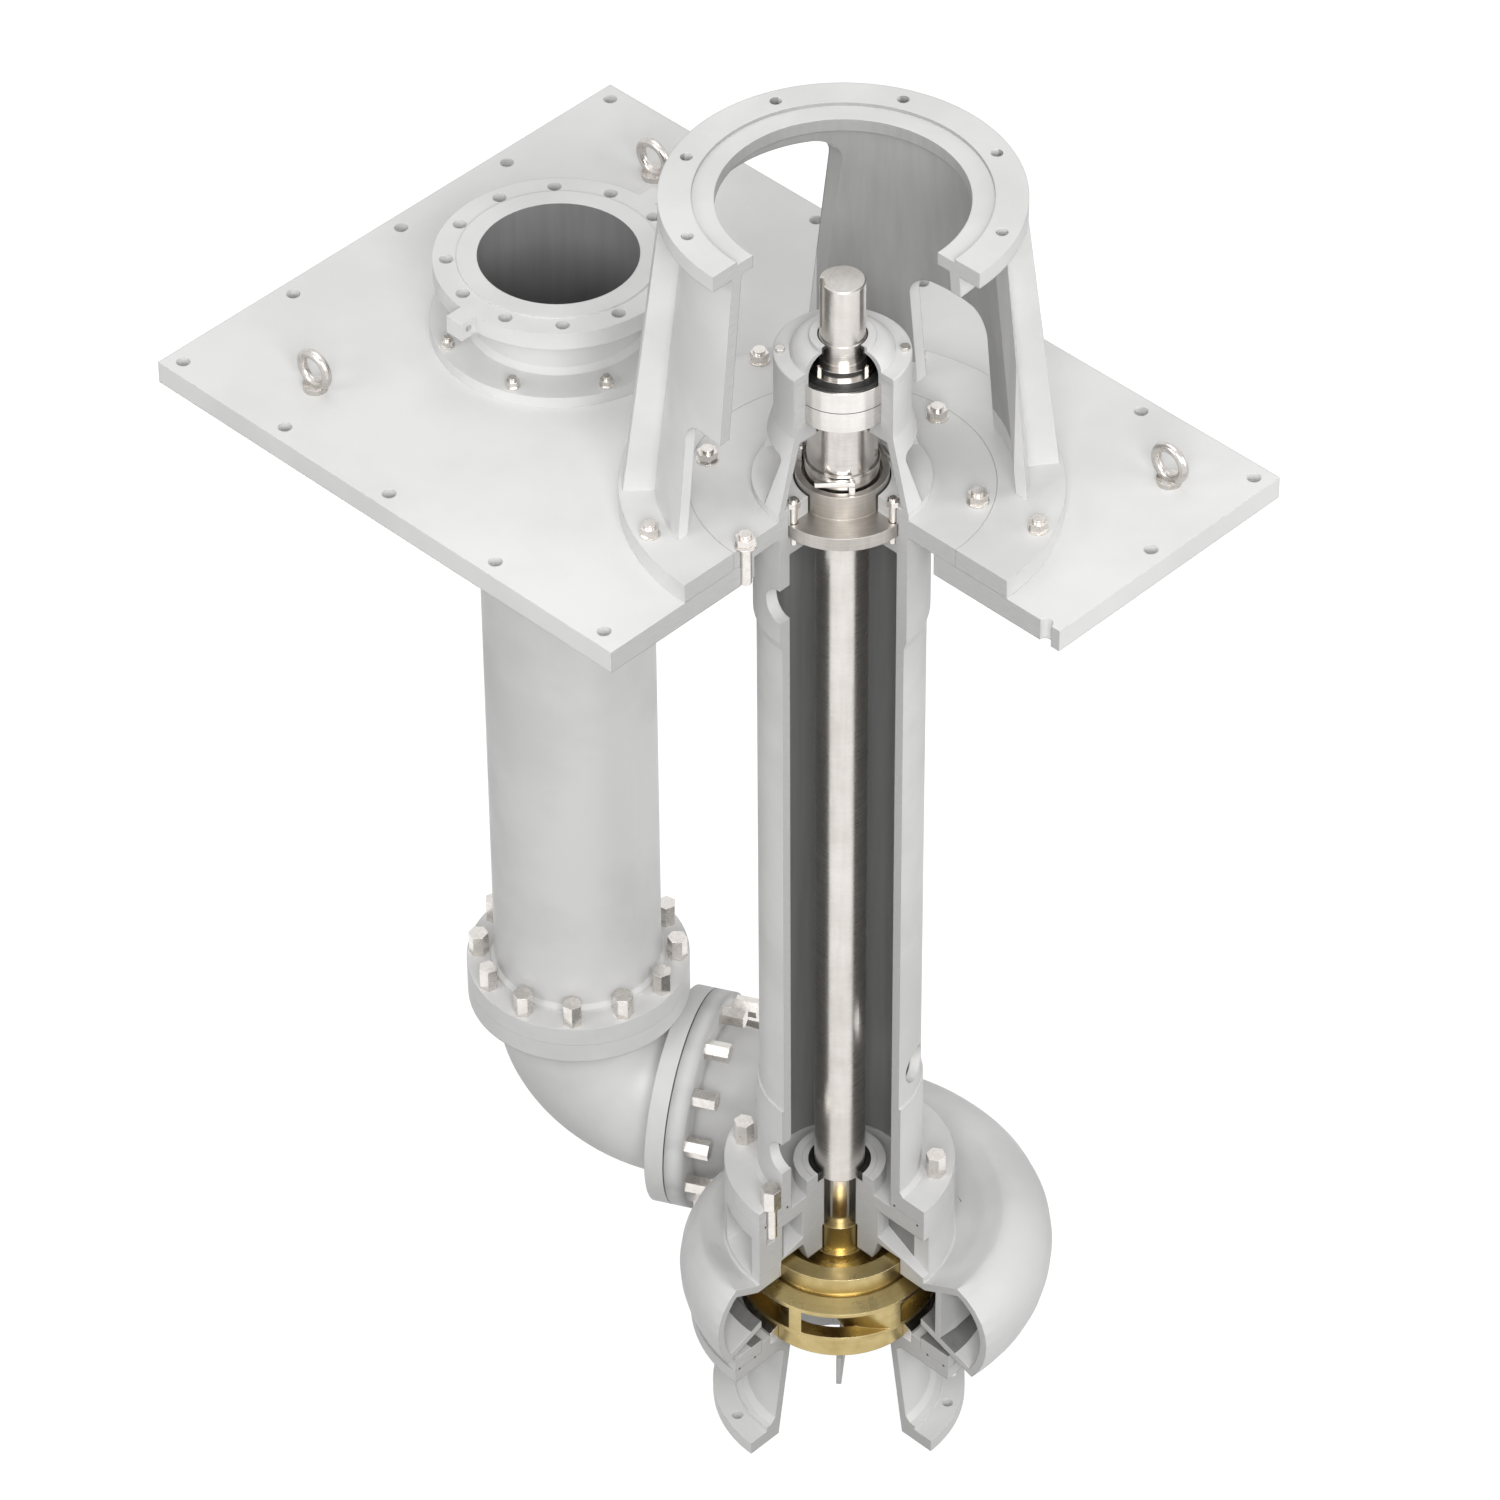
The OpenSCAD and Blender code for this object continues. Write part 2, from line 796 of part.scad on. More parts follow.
module plate_edge_places() {
  step_x = (plate_left + plate_right - 2 * plate_hole_inset) / (plate_holes_x - 1);
  step_y = (plate_w - 2 * plate_hole_inset) / (plate_holes_y - 1);
  for (i = [0 : plate_holes_x - 1], j = [0 : plate_holes_y - 1])
    if (i == 0 || j == 0 || i == plate_holes_x - 1 || j == plate_holes_y - 1)
      translate([plate_hole_inset - plate_left + i * step_x,
        plate_hole_inset - plate_w / 2 + j * step_y, 0]) children();
}

module eye_places() {
  for (p = [[-eye_left_x, -eye_y], [-eye_left_x, eye_y], [eye_right_x, eye_y]])
    translate([p[0], p[1], 0]) children();
  if (!cutaway)
    translate([eye_right_x, -eye_y, 0]) children();
}

module at_pipe() {
  translate([-pipe_x, 0, 0]) children();
}

module base_plate() {
  color(paint)
    sectioned()
      difference() {
        translate([-plate_left, -plate_w / 2, 0])
          cube([plate_left + plate_right, plate_w, plate_t]);
        translate([0, 0, -over]) cylinder(r = plate_bore_r, h = plate_t + 2 * over);
        at_pipe() translate([0, 0, -over])
          cylinder(r = pipe_r + seat_gap, h = plate_t + 2 * over);
        plate_edge_places() translate([0, 0, -over])
          cylinder(r = plate_hole_r, h = plate_t + 2 * over);
        eye_places() translate([0, 0, plate_t - eye_shank_len - seat_gap])
          cylinder(r = eye_shank_r + seat_gap, h = eye_shank_len + over);
        ring_of(stand_bolt_n, stand_pitch_r, half_turn / stand_bolt_n)
          translate([0, 0, -over]) cylinder(r = bolt_r + seat_gap, h = plate_t + 2 * over);
        ring_of(head_bolt_n, head_pitch_r, half_turn / head_bolt_n)
          translate([0, 0, -over]) cylinder(r = bolt_r + seat_gap, h = plate_t + 2 * over);
        at_pipe() ring_of(sole_bolt_n, sole_pitch_r, half_turn / sole_bolt_n)
          translate([0, 0, -over]) cylinder(r = small_bolt_r + seat_gap, h = plate_t + 2 * over);
      }
}

module lifting_eyes() {
  color(steel)
    on_plate() eye_places() {
      cylinder(r = eye_collar_r, h = eye_collar_h);
      translate([0, 0, -eye_shank_len]) cylinder(r = eye_shank_r, h = eye_shank_len + over);
      translate([0, 0, eye_rise]) rotate([quarter, 0, 0])
        rotate_extrude() translate([eye_ring_r, 0, 0]) circle(r = eye_wire_r, $fn = 32);
    }
}

// Window cutter along X with rounded upper corners, standing on the foot ring.
module stand_window(w, h) {
  inner = w / 2 - window_corner_r;
  translate([-stand_foot_r, -w / 2, stand_foot_t])
    cube([2 * stand_foot_r, w, h - window_corner_r]);
  translate([-stand_foot_r, -inner, stand_foot_t])
    cube([2 * stand_foot_r, 2 * inner, h]);
  for (s = [-1, 1])
    translate([-stand_foot_r, s * inner, stand_foot_t + h - window_corner_r])
      rotate([0, quarter, 0]) cylinder(r = window_corner_r, h = 2 * stand_foot_r);
}

module stand_fin() {
  web_mid_foot = web_foot_in_r + web_foot_t / 2;
  web_mid_top = web_top_in_r + web_top_t / 2;
  translate([0, fin_t / 2, 0]) rotate([quarter, 0, 0])
    linear_extrude(fin_t)
      polygon([[web_mid_foot, stand_foot_t - over], [fin_foot_r, stand_foot_t - over],
        [fin_top_r, stand_h - motor_flange_t + over], [web_mid_top, stand_h - motor_flange_t + over]]);
}

module motor_stand() {
  lip_z = stand_h - motor_flange_t;
  color(paint)
    on_plate() sectioned()
      difference() {
        union() {
          difference() {
            turned([[head_r + seat_gap, 0], [stand_foot_r, 0], [stand_foot_r, stand_foot_t],
              [web_foot_in_r + web_foot_t, stand_foot_t], [web_top_in_r + web_top_t, lip_z],
              [motor_flange_r, lip_z], [motor_flange_r, stand_h], [register_r, stand_h],
              [register_r, stand_h - register_deep], [motor_bore_r, stand_h - register_deep],
              [motor_bore_r, lip_z], [web_top_in_r, lip_z], [web_foot_in_r, stand_foot_t],
              [head_r + seat_gap, stand_foot_t]]);
            stand_window(tall_window_w, tall_window_h);
            rotate(quarter) stand_window(low_window_w, low_window_h);
          }
          for (a = fin_angles) rotate(a) stand_fin();
        }
        ring_of(motor_holes, motor_pitch_r, half_turn / motor_holes)
          translate([0, 0, lip_z - over]) cylinder(r = motor_hole_r, h = motor_flange_t + 2 * over);
        ring_of(stand_bolt_n, stand_pitch_r, half_turn / stand_bolt_n)
          translate([0, 0, -over]) cylinder(r = bolt_r + bolt_gap, h = stand_foot_t + 2 * over);
      }
}

module stand_bolts() {
  color(steel)
    on_plate() kept_ring_of(stand_bolt_n, stand_pitch_r, half_turn / stand_bolt_n)
      translate([0, 0, stand_foot_t])
        nut_set(bolt_r, stand_nut_r, nut_h, stand_foot_t + bolt_reach);
}

module column_pipe() {
  color(paint)
    on_plate() sectioned()
      difference() {
        turned([[head_recess_r, head_t], [head_r, head_t], [head_r, 0], [column_head_r, 0],
          [column_head_r, -column_head_len], [column_r, -column_head_len - column_chamfer],
          [column_r, foot_flange_z + column_collar_len], [column_collar_r, foot_flange_z + column_collar_len],
          [column_collar_r, foot_flange_z + column_weld], [column_collar_r + column_weld, foot_flange_z],
          [column_foot_r, foot_flange_z], [column_foot_r, joint_z], [column_in_r, joint_z],
          [column_in_r, column_cavity_z], [ledge_bore_r, column_cavity_z],
          [ledge_bore_r, head_recess_floor], [head_recess_r, head_recess_floor]]);
        ring_of(head_bolt_n, head_pitch_r, half_turn / head_bolt_n)
          translate([0, 0, -over]) cylinder(r = bolt_r + bolt_gap, h = head_t + 2 * over);
        ring_of(column_bolt_n, column_pitch_r, half_turn / column_bolt_n)
          translate([0, 0, joint_z - over])
            cylinder(r = flange_bolt_r + bolt_gap, h = column_foot_t + 2 * over);
        ring_of(stud_n, stud_pitch_r)
          translate([0, 0, bracket_foot_top - stud_len - seat_gap])
            cylinder(r = stud_r + seat_gap, h = stud_len);
        for (d = [drain_top_deep, drain_foot_deep])
          translate([0, 0, -d]) rotate([quarter, 0, 0])
            cylinder(r = drain_hole_r, h = column_foot_r);
        translate([0, 0, -drain_rear_deep]) rotate([0, quarter, drain_rear_angle])
          cylinder(r = drain_hole_r, h = column_foot_r);
      }
}

module head_bolts() {
  color(steel)
    on_plate() kept_ring_of(head_bolt_n, head_pitch_r, half_turn / head_bolt_n)
      translate([0, 0, head_t]) nut_set(bolt_r, nut_r, nut_h, head_t + bolt_reach);
}

module column_bolts() {
  color(steel)
    on_plate() kept_ring_of(column_bolt_n, column_pitch_r, half_turn / column_bolt_n)
      translate([0, 0, foot_flange_z])
        head_bolt(flange_bolt_r, flange_head_r, flange_head_h, column_foot_t + casing_flange_t);
}

module skirt_window() {
  inner = skirt_window_w / 2 - skirt_window_corner;
  z = bracket_foot_top;
  translate([0, -skirt_window_w / 2, z])
    cube([bracket_foot_r + over, skirt_window_w, skirt_window_h - skirt_window_corner]);
  translate([0, -inner, z]) cube([bracket_foot_r + over, 2 * inner, skirt_window_h]);
  for (s = [-1, 1])
    translate([0, s * inner, z + skirt_window_h - skirt_window_corner])
      rotate([0, quarter, 0]) cylinder(r = skirt_window_corner, h = bracket_foot_r + over);
}

module bearing_bracket() {
  color(paint)
    on_plate() sectioned()
      difference() {
        turned([[bracket_bore_r, gland_plate_z], [bracket_spigot_r, gland_plate_z],
          [bracket_spigot_r, head_t], [bracket_foot_r, head_t], [bracket_foot_r, bracket_foot_top],
          [bracket_foot_r - over, bracket_foot_top], [housing_r, skirt_top_z],
          [housing_r, housing_top_z], [bearing_r + mount_gap, housing_top_z],
          [bearing_r + mount_gap, bearing_z], [housing_bore_r, bearing_z],
          [housing_bore_r, housing_floor_z], [housing_r - skirt_t + over, housing_floor_z],
          [bracket_foot_r - skirt_t, bracket_foot_top], [bracket_bore_r, bracket_foot_top]]);
        for (k = [0 : skirt_windows - 1])
          rotate(half_turn / skirt_windows + k * full_turn / skirt_windows) skirt_window();
        ring_of(stud_n, stud_pitch_r)
          translate([0, 0, gland_plate_z - over])
            cylinder(r = stud_r + bolt_gap, h = bracket_foot_top - gland_plate_z + 2 * over);
        ring_of(cover_screw_n, cover_pitch_r, half_turn / cover_screw_n)
          translate([0, 0, housing_top_z - cover_screw_len - over])
            cylinder(r = cover_screw_r + seat_gap, h = cover_screw_len + 2 * over);
      }
}

module bearing_cover() {
  dome_in = dome_r - dome_t;
  seal_z = cover_boss_z - lip_seal_h;
  color(paint)
    on_plate() sectioned()
      difference() {
        turned([[dome_in, bearing_top_z], [bearing_r - seat_gap, bearing_top_z],
          [bearing_r - seat_gap, housing_top_z], [housing_r, housing_top_z],
          [housing_r, cover_face_z], [dome_r, cover_face_z], [cover_boss_r + dome_t, cover_face_z + dome_h],
          [cover_boss_r, cover_face_z + dome_h], [cover_boss_r, cover_boss_z],
          [lip_seal_r, cover_boss_z], [lip_seal_r, seal_z], [cover_boss_r - dome_t, seal_z - over],
          [dome_in, housing_top_z]]);
        ring_of(cover_screw_n, cover_pitch_r, half_turn / cover_screw_n)
          translate([0, 0, housing_top_z - over])
            cylinder(r = cover_screw_r + bolt_gap, h = cover_t + 2 * over);
      }
}

module cover_screws() {
  color(steel)
    on_plate() kept_ring_of(cover_screw_n, cover_pitch_r, half_turn / cover_screw_n)
      translate([0, 0, cover_face_z])
        head_bolt(cover_screw_r, cover_head_r, cover_head_h, cover_t + cover_screw_len);
}

module cover_seal() {
  z = cover_boss_z - lip_seal_h;
  color(black)
    on_plate() sectioned()
      turned([[seal_journal_r + running_gap, cover_boss_z], [lip_seal_r, cover_boss_z], [lip_seal_r, z],
        [lip_seal_r - lip_rim_t, z], [lip_seal_r - lip_rim_t, cover_boss_z - lip_web_t],
        [seal_journal_r + running_gap, cover_boss_z - lip_web_t]]);
}

// Raceway groove cut by a ball travelling round the shaft.
module raceway() {
  rotate_extrude() translate([ball_pitch_r, 0, 0]) circle(r = ball_r + ball_gap, $fn = 48);
}

// The outer rings are left whole, unlike the castings round them.
module bearing_outer_rings() {
  color(bright)
    on_plate()
      for (k = [0, 1])
        difference() {
          tube(bearing_r, bearing_r - bearing_outer_t, bearing_z + k * bearing_w, bearing_w - mount_gap);
          translate([0, 0, bearing_z + k * bearing_w + bearing_w / 2]) raceway();
        }
}

module bearing_inner_rings() {
  color(bright)
    on_plate()
      for (k = [0, 1])
        difference() {
          tube(bearing_bore_r + bearing_inner_t, bearing_bore_r + mount_gap,
            bearing_z + k * bearing_w, bearing_w - mount_gap);
          translate([0, 0, bearing_z + k * bearing_w + bearing_w / 2]) raceway();
        }
}

module bearing_balls() {
  color(bright)
    on_plate()
      for (k = [0, 1])
        translate([0, 0, bearing_z + k * bearing_w + bearing_w / 2])
          ring_of(ball_n, ball_pitch_r) sphere(r = ball_r, $fn = 48);
}

module bearing_cages() {
  color(brass)
    on_plate()
      for (k = [0, 1])
        translate([0, 0, bearing_z + k * bearing_w + bearing_w / 2])
          difference() {
            tube(ball_pitch_r + cage_w / 2, ball_pitch_r - cage_w / 2, -cage_h / 2, cage_h);
            ring_of(ball_n, ball_pitch_r) sphere(r = ball_r + ball_gap, $fn = 48);
          }
}

module seal_gland() {
  color(bright)
    on_plate()
      difference() {
        turned([[gland_bore_r, gland_foot_z], [gland_plate_r, gland_foot_z],
          [gland_plate_r, gland_plate_z], [gland_r, gland_plate_z], [gland_r, gland_top_z],
          [gland_recess_r, gland_top_z], [gland_recess_r, gland_top_z - gland_recess_deep],
          [gland_bore_r, gland_top_z - gland_recess_deep]]);
        ring_of(stud_n, stud_pitch_r)
          translate([0, 0, gland_foot_z - over])
            cylinder(r = stud_r + bolt_gap, h = gland_plate_t + 2 * over);
      }
}

module seal_studs() {
  color(steel)
    on_plate() kept_ring_of(stud_n, stud_pitch_r)
      translate([0, 0, bracket_foot_top]) {
        hex_prism(stud_nut_r, stud_nut_h);
        translate([0, 0, -stud_len]) cylinder(r = stud_r, h = stud_len + stud_nut_h + stud_proud);
      }
}

module drive_collar() {
  color(bright)
    on_plate()
      difference() {
        union() {
          tube(collar_r, shaft_r + mount_gap, collar_z, collar_h);
          tube(shaft_r + seal_sleeve_t, shaft_r + mount_gap, gland_foot_z, collar_z - gland_foot_z + over);
        }
        translate([0, 0, collar_z + set_screw_up])
          ring_of(set_screw_n, 0, set_screw_turn) rotate([0, quarter, 0])
            cylinder(r = set_screw_r + seat_gap, h = collar_r + over);
      }
}

module collar_screws() {
  color(steel)
    on_plate() translate([0, 0, collar_z + set_screw_up])
      ring_of(set_screw_n, shaft_r + mount_gap, set_screw_turn) rotate([0, quarter, 0])
        cylinder(r = set_screw_r, h = collar_r - shaft_r - over);
}

module spacer_sleeve() {
  color(bright)
    on_plate() tube(spacer_r, shaft_r + mount_gap, collar_top_z, bearing_z - collar_top_z);
}

module lock_washer() {
  color(steel)
    on_plate() tube(lock_washer_r, bearing_bore_r + mount_gap, bearing_top_z, lock_washer_t);
}

module lock_nut() {
  color(steel)
    on_plate()
      difference() {
        tube(lock_nut_r, bearing_bore_r + mount_gap, lock_nut_z, lock_nut_t);
        ring_of(lock_slot_n, lock_nut_r)
          translate([-lock_slot_w / 2, -lock_slot_w / 2, lock_nut_z - over])
            cube([lock_slot_w, lock_slot_w, lock_nut_t + 2 * over]);
      }
}

module shaft() {
  end_z = impeller_foot_z - thread_len;
  thread_end_z = lock_nut_z + lock_nut_t + stub_chamfer;
  color(bright)
    on_plate()
      difference() {
        turned([[0, end_z], [journal_r, end_z], [journal_r, shaft_foot_z], [shaft_r, shaft_foot_z],
          [shaft_r, bearing_z], [bearing_bore_r, bearing_z],
          [bearing_bore_r, thread_end_z], [seal_journal_r, thread_end_z],
          [seal_journal_r, cover_boss_z + stub_chamfer], [stub_r, cover_boss_z + stub_chamfer],
          [stub_r, shaft_top_z - stub_chamfer], [stub_r - stub_chamfer, shaft_top_z], [0, shaft_top_z]]);
        rotate(key_angle)
          translate([stub_r - key_deep, -key_w / 2, shaft_top_z - keyway_len])
            cube([key_deep + over, key_w, keyway_len + over]);
      }
}

module guide_bush() {
  color(steel)
    on_plate() sectioned()
      turned([[stem_r + running_gap, bush_foot_z], [bush_r, bush_foot_z], [bush_r, bush_flange_z],
        [bush_flange_r, bush_flange_z], [bush_flange_r, bush_top_z],
        [shaft_r + bolt_gap, bush_top_z], [shaft_r + bolt_gap, shaft_foot_z - seat_gap],
        [stem_r + running_gap, shaft_foot_z - seat_gap]]);
}

module bush_retainer() {
  color(paint)
    on_plate() sectioned()
      tube(retainer_r, bush_flange_r + mount_gap, bush_top_z - retainer_t, retainer_t);
}

module stem_seal() {
  color(black)
    on_plate() sectioned()
      tube(bush_r, stem_r + running_gap, stem_end_z + seat_gap, bush_foot_z - stem_end_z - seat_gap);
}

module stem_sleeve() {
  color(brass)
    on_plate() tube(stem_r, journal_r + mount_gap, stem_end_z, shaft_foot_z - stem_end_z);
}

// Profile of one spiral arc, grown outward by the wall.
module arc_profile(r, grow) {
  steps = profile_steps;
  up = volute_upper_r + grow;
  down = volute_lower_r + grow;
  low_angle = volute_lower_sweep;
  polygon(concat(
    [[0, volute_mid_z - down * sin(low_angle)]],
    [for (i = [-steps : 0]) [r - volute_lower_r + down * cos(low_angle * i / steps),
      volute_mid_z + down * sin(low_angle * i / steps)]],
    [for (i = [1 : steps]) [r - volute_upper_r + up * cos(quarter * i / steps),
      volute_mid_z + up * sin(quarter * i / steps)]],
    [[0, volute_mid_z + up]]));
}

// Four quarter turns about the corners of a small square make the spiral.
module spiral_space(grow) {
  rotate(outlet_angle)
    for (k = [0 : arcs - 1])
      rotate(quarter * (k + 1)) translate([-spiral_step / 2, spiral_step / 2, 0])
        rotate_extrude(angle = quarter) arc_profile(spiral_r + k * spiral_step, grow);
}

// Space between roof and floor, flat at the impeller and conical outside, grown by the wall.
module volute_wedge(grow, inner) {
  far = spiral_r + arcs * spiral_step + casing_wall;
  roof_z = joint_z - roof_root + grow * sqrt(1 + roof_slope * roof_slope);
  floor_z = joint_z - floor_root - grow * sqrt(1 + floor_slope * floor_slope);
  turned([[inner, roof_z], [inner, floor_z], [floor_root_r, floor_z],
    [far, floor_z - floor_slope * (far - floor_root_r)],
    [far, roof_z + roof_slope * (far - roof_root_r)], [roof_root_r, roof_z]]);
}

module volute_space(grow, inner) {
  intersection() {
    spiral_space(grow);
    volute_wedge(grow, inner);
  }
}

// Places children on the outlet line: x along the flow, y toward the pump axis.
module at_outlet() {
  translate([-pipe_x, 0, outlet_z]) rotate(outlet_angle + half_turn)
    translate([-outlet_foot, 0, 0]) children();
}

// Straight nozzle from the throat to the flange, grown outward by the wall.
module nozzle(grow, extra) {
  off = throat_off - outlet_offset;
  corner = throat_corner_r;
  hull() {
    for (sy = [-1, 1], sz = [-1, 1])
      translate([-nozzle_lead, -off + sy * (throat_w / 2 - corner), sz * (throat_h / 2 - corner)])
        rotate([0, quarter, 0]) cylinder(r = corner + grow, h = over, $fn = 32);
    translate([nozzle_len - over, 0, 0]) rotate([0, quarter, 0])
      cylinder(r = pipe_bore_r + grow, h = over, $fn = 32);
  }
  if (extra > 0)
    translate([nozzle_len - over, 0, 0]) rotate([0, quarter, 0])
      cylinder(r = pipe_bore_r, h = extra);
}

module splitter() {
  steps = splitter_steps;
  first = -quarter / 2;
  last = quarter + outlet_angle;
  span = last - first;
  rate = (outlet_offset - splitter_r) / last;
  inner = [for (i = [0 : steps]) let(a = first + span * i / steps, r = splitter_r + rate * a)
    [r * cos(a), r * sin(a)]];
  outer = [for (i = [steps : -1 : 0]) let(a = first + span * i / steps, r = splitter_r + rate * a + splitter_t)
    [r * cos(a), r * sin(a)]];
  translate([0, 0, joint_z - cover_joint])
    linear_extrude(cover_joint - roof_root + volute_upper_r) polygon(concat(inner, outer));
}

module casing_body() {
  turned([[casing_boss_r, joint_z + casing_boss_h], [casing_boss_r, joint_z - casing_well],
    [column_in_r - seat_gap, joint_z - casing_well], [column_in_r - seat_gap, joint_z],
    [casing_top_r, joint_z], [casing_top_r, joint_z - roof_root],
    [chamber_r, joint_z - roof_root], [chamber_r, joint_z - chamber_top],
    [nose_root_r, joint_z - chamber_top], [nose_tip_r, joint_z - nose_tip],
    [nose_bore_r, joint_z - nose_tip], [nose_bore_r, stem_end_z], [bush_r + mount_gap, stem_end_z],
    [bush_r + mount_gap, bush_flange_z], [bush_flange_r + mount_gap, bush_flange_z],
    [bush_flange_r + mount_gap, bush_top_z - retainer_t],
    [retainer_r + mount_gap, bush_top_z - retainer_t], [retainer_r + mount_gap, joint_z + casing_boss_h]]);
}

module casing_pockets() {
  difference() {
    for (a = pocket_angles)
      rotate(a) translate([0, -pocket_w / 2, joint_z - pocket_floor_out])
        cube([casing_top_r + casing_wall, pocket_w, pocket_floor_out - casing_flange_t]);
    turned([[0, joint_z], [casing_hub_r, joint_z], [casing_hub_r, joint_z - pocket_floor_in],
      [casing_top_r + pocket_flare, joint_z - pocket_floor_out],
      [casing_top_r + pocket_flare, joint_z - 2 * pocket_floor_out],
      [0, joint_z - 2 * pocket_floor_out]]);
  }
}

module volute_casing() {
  color(paint)
    on_plate() sectioned() {
      difference() {
        union() {
          casing_body();
          tube(cover_joint_r, cover_seat_r, suction_z, cover_joint_t);
          volute_space(casing_wall, cover_seat_r);
          at_outlet() nozzle(casing_wall, 0);
          at_outlet() translate([nozzle_len - side_flange_t, 0, 0]) rotate([0, quarter, 0])
            cylinder(r = pipe_flange_r, h = side_flange_t);
        }
        casing_pockets();
        difference() {
          union() {
            volute_space(0, chamber_r + over);
            at_outlet() nozzle(0, 2 * over);
          }
          splitter();
        }
        ring_of(column_bolt_n, column_pitch_r, half_turn / column_bolt_n)
          translate([0, 0, joint_z - column_bolt_hole])
            cylinder(r = flange_bolt_r + seat_gap, h = column_bolt_hole + over);
        at_outlet() translate([nozzle_len - side_flange_t - over, 0, 0]) rotate([0, quarter, 0])
          ring_of(pipe_bolt_n, pipe_pitch_r, half_turn / pipe_bolt_n)
            cylinder(r = flange_bolt_r + bolt_gap, h = side_flange_t + 2 * over);
        ring_of(cover_bolt_n, cover_bolt_pitch, cover_bolt_turn)
          translate([0, 0, suction_z - over]) cylinder(r = cover_bolt_r + seat_gap, h = cover_bolt_deep + 2 * over);
      }
    }
}

module wear_ring() {
  foot_z = suction_z + spigot_h - wear_seat;
  color(bright)
    on_plate() sectioned()
      turned([[wear_in_r, foot_z], [wear_out_r, foot_z], [wear_out_r, suction_z + wear_rise - wear_slope],
        [wear_in_r, suction_z + wear_rise]]);
}
module impeller_rings() {
  ring_z = joint_z - hub_ring_top;
  back_z = joint_z - back_ring_top;
  groove_z = back_z - back_ring_h;
  shroud_z = groove_z - groove_h;
  rim_z = joint_z - rim_top;
  low_z = joint_z - outlet_low;
  turned([[journal_r + mount_gap, stem_end_z], [hub_r, stem_end_z], [hub_r, ring_z],
    [hub_ring_r, ring_z], [flare_r, ring_z - flare_drop], [hollow_r, shroud_z - hollow_drop],
    [back_ring_in_r, shroud_z], [back_ring_in_r, back_z], [back_ring_r, back_z],
    [back_ring_r, groove_z], [back_ring_r - groove_deep, groove_z],
    [back_ring_r - groove_deep, shroud_z], [back_ring_r, shroud_z], [impeller_r, rim_z],
    [impeller_r, rim_z - rim_t], [back_ring_in_r, rim_z - back_shroud_t],
    [waterway_r, rim_z - rim_t - waterway_drop], [hub_r, impeller_foot_z + hub_nose_h],
    [hub_r - hub_nose, impeller_foot_z], [journal_r + mount_gap, impeller_foot_z]]);
  turned([[impeller_r, low_z], [impeller_r, low_z - rim_t], [front_ring_r, joint_z - front_ring_top],
    [front_ring_r, joint_z - front_ring_foot], [eye_r, joint_z - front_ring_foot],
    [eye_r, joint_z - front_ring_top], [eye_r + front_shroud_t, low_z - rim_t - vane_root]]);
}

// One backward curved vane, taller than the waterway.
module vane() {
  tall = front_ring_foot - rim_top;
  translate([0, vane_off, joint_z - front_ring_foot])
    difference() {
      cylinder(r = vane_curve_r, h = tall);
      translate([0, 0, -over]) cylinder(r = vane_curve_r - vane_t, h = tall + 2 * over);
      translate([-2 * vane_curve_r, -2 * vane_curve_r, -over])
        cube([2 * vane_curve_r, 4 * vane_curve_r, tall + 2 * over]);
    }
}

module impeller() {
  rim_z = joint_z - rim_top;
  low_z = joint_z - outlet_low;
  color(brass)
    on_plate() {
      impeller_rings();
      intersection() {
        for (k = [0 : vane_n - 1]) rotate(k * full_turn / vane_n) vane();
        turned([[waterway_r - vane_root, rim_z - rim_t - waterway_drop + vane_root],
          [back_ring_in_r, rim_z - back_shroud_t + vane_root], [impeller_r, rim_z - rim_t + vane_root],
          [impeller_r, low_z - vane_root], [eye_r + front_shroud_t, low_z - rim_t - 2 * vane_root],
          [eye_r + vane_root, joint_z - front_ring_top]]);
      }
    }
}

module impeller_nut() {
  z = impeller_foot_z;
  color(brass)
    on_plate() translate([0, 0, z - impeller_nut_h])
      difference() {
        hex_prism(impeller_nut_r, impeller_nut_h);
        translate([0, 0, impeller_nut_h - thread_len - over])
          cylinder(r = journal_r + mount_gap, h = thread_len + 2 * over);
      }
}

module suction_cover() {
  seat_z = suction_z + spigot_h - wear_seat;
  flange_z = mouth_z + mouth_flange_t;
  color(paint)
    on_plate() sectioned()
      difference() {
        union() {
          turned([[throat_r, seat_z], [wear_out_r + mount_gap, seat_z],
            [wear_out_r + mount_gap, suction_z + spigot_h], [spigot_r, suction_z + spigot_h],
            [spigot_r, suction_z], [cover_joint_r, suction_z], [cover_joint_r, suction_z - suction_top_t],
            [throat_r + cone_top_t + cone_fillet, suction_z - suction_top_t],
            [throat_r + cone_top_t, suction_z - suction_top_t - cone_fillet],
            [mouth_r + cone_foot_t, flange_z + mouth_step_h + cone_fillet],
            [mouth_r + cone_foot_t + cone_fillet, flange_z + mouth_step_h],
            [mouth_step_r, flange_z + mouth_step_h], [mouth_step_r, flange_z],
            [mouth_flange_r, flange_z], [mouth_flange_r, mouth_z], [mouth_r, mouth_z],
            [throat_r, suction_z - throat_len]]);
          rotate(rib_angle) translate([0, rib_t / 2, 0]) rotate([quarter, 0, 0])
            linear_extrude(rib_t)
              polygon([[throat_r + over, suction_z - throat_len],
                [throat_r + over - rib_top_w, suction_z - throat_len],
                [mouth_r - rib_foot_w, mouth_z + rib_foot_w], [mouth_r + over, mouth_z + rib_foot_w]]);
        }
        ring_of(mouth_holes, mouth_pitch_r, mouth_turn)
          translate([0, 0, mouth_z - over]) cylinder(r = mouth_hole_r, h = mouth_flange_t + 2 * over);
        ring_of(cover_bolt_n, cover_bolt_pitch, cover_bolt_turn)
          translate([0, 0, suction_z - suction_top_t - over])
            cylinder(r = cover_bolt_r + bolt_gap, h = suction_top_t + 2 * over);
      }
}

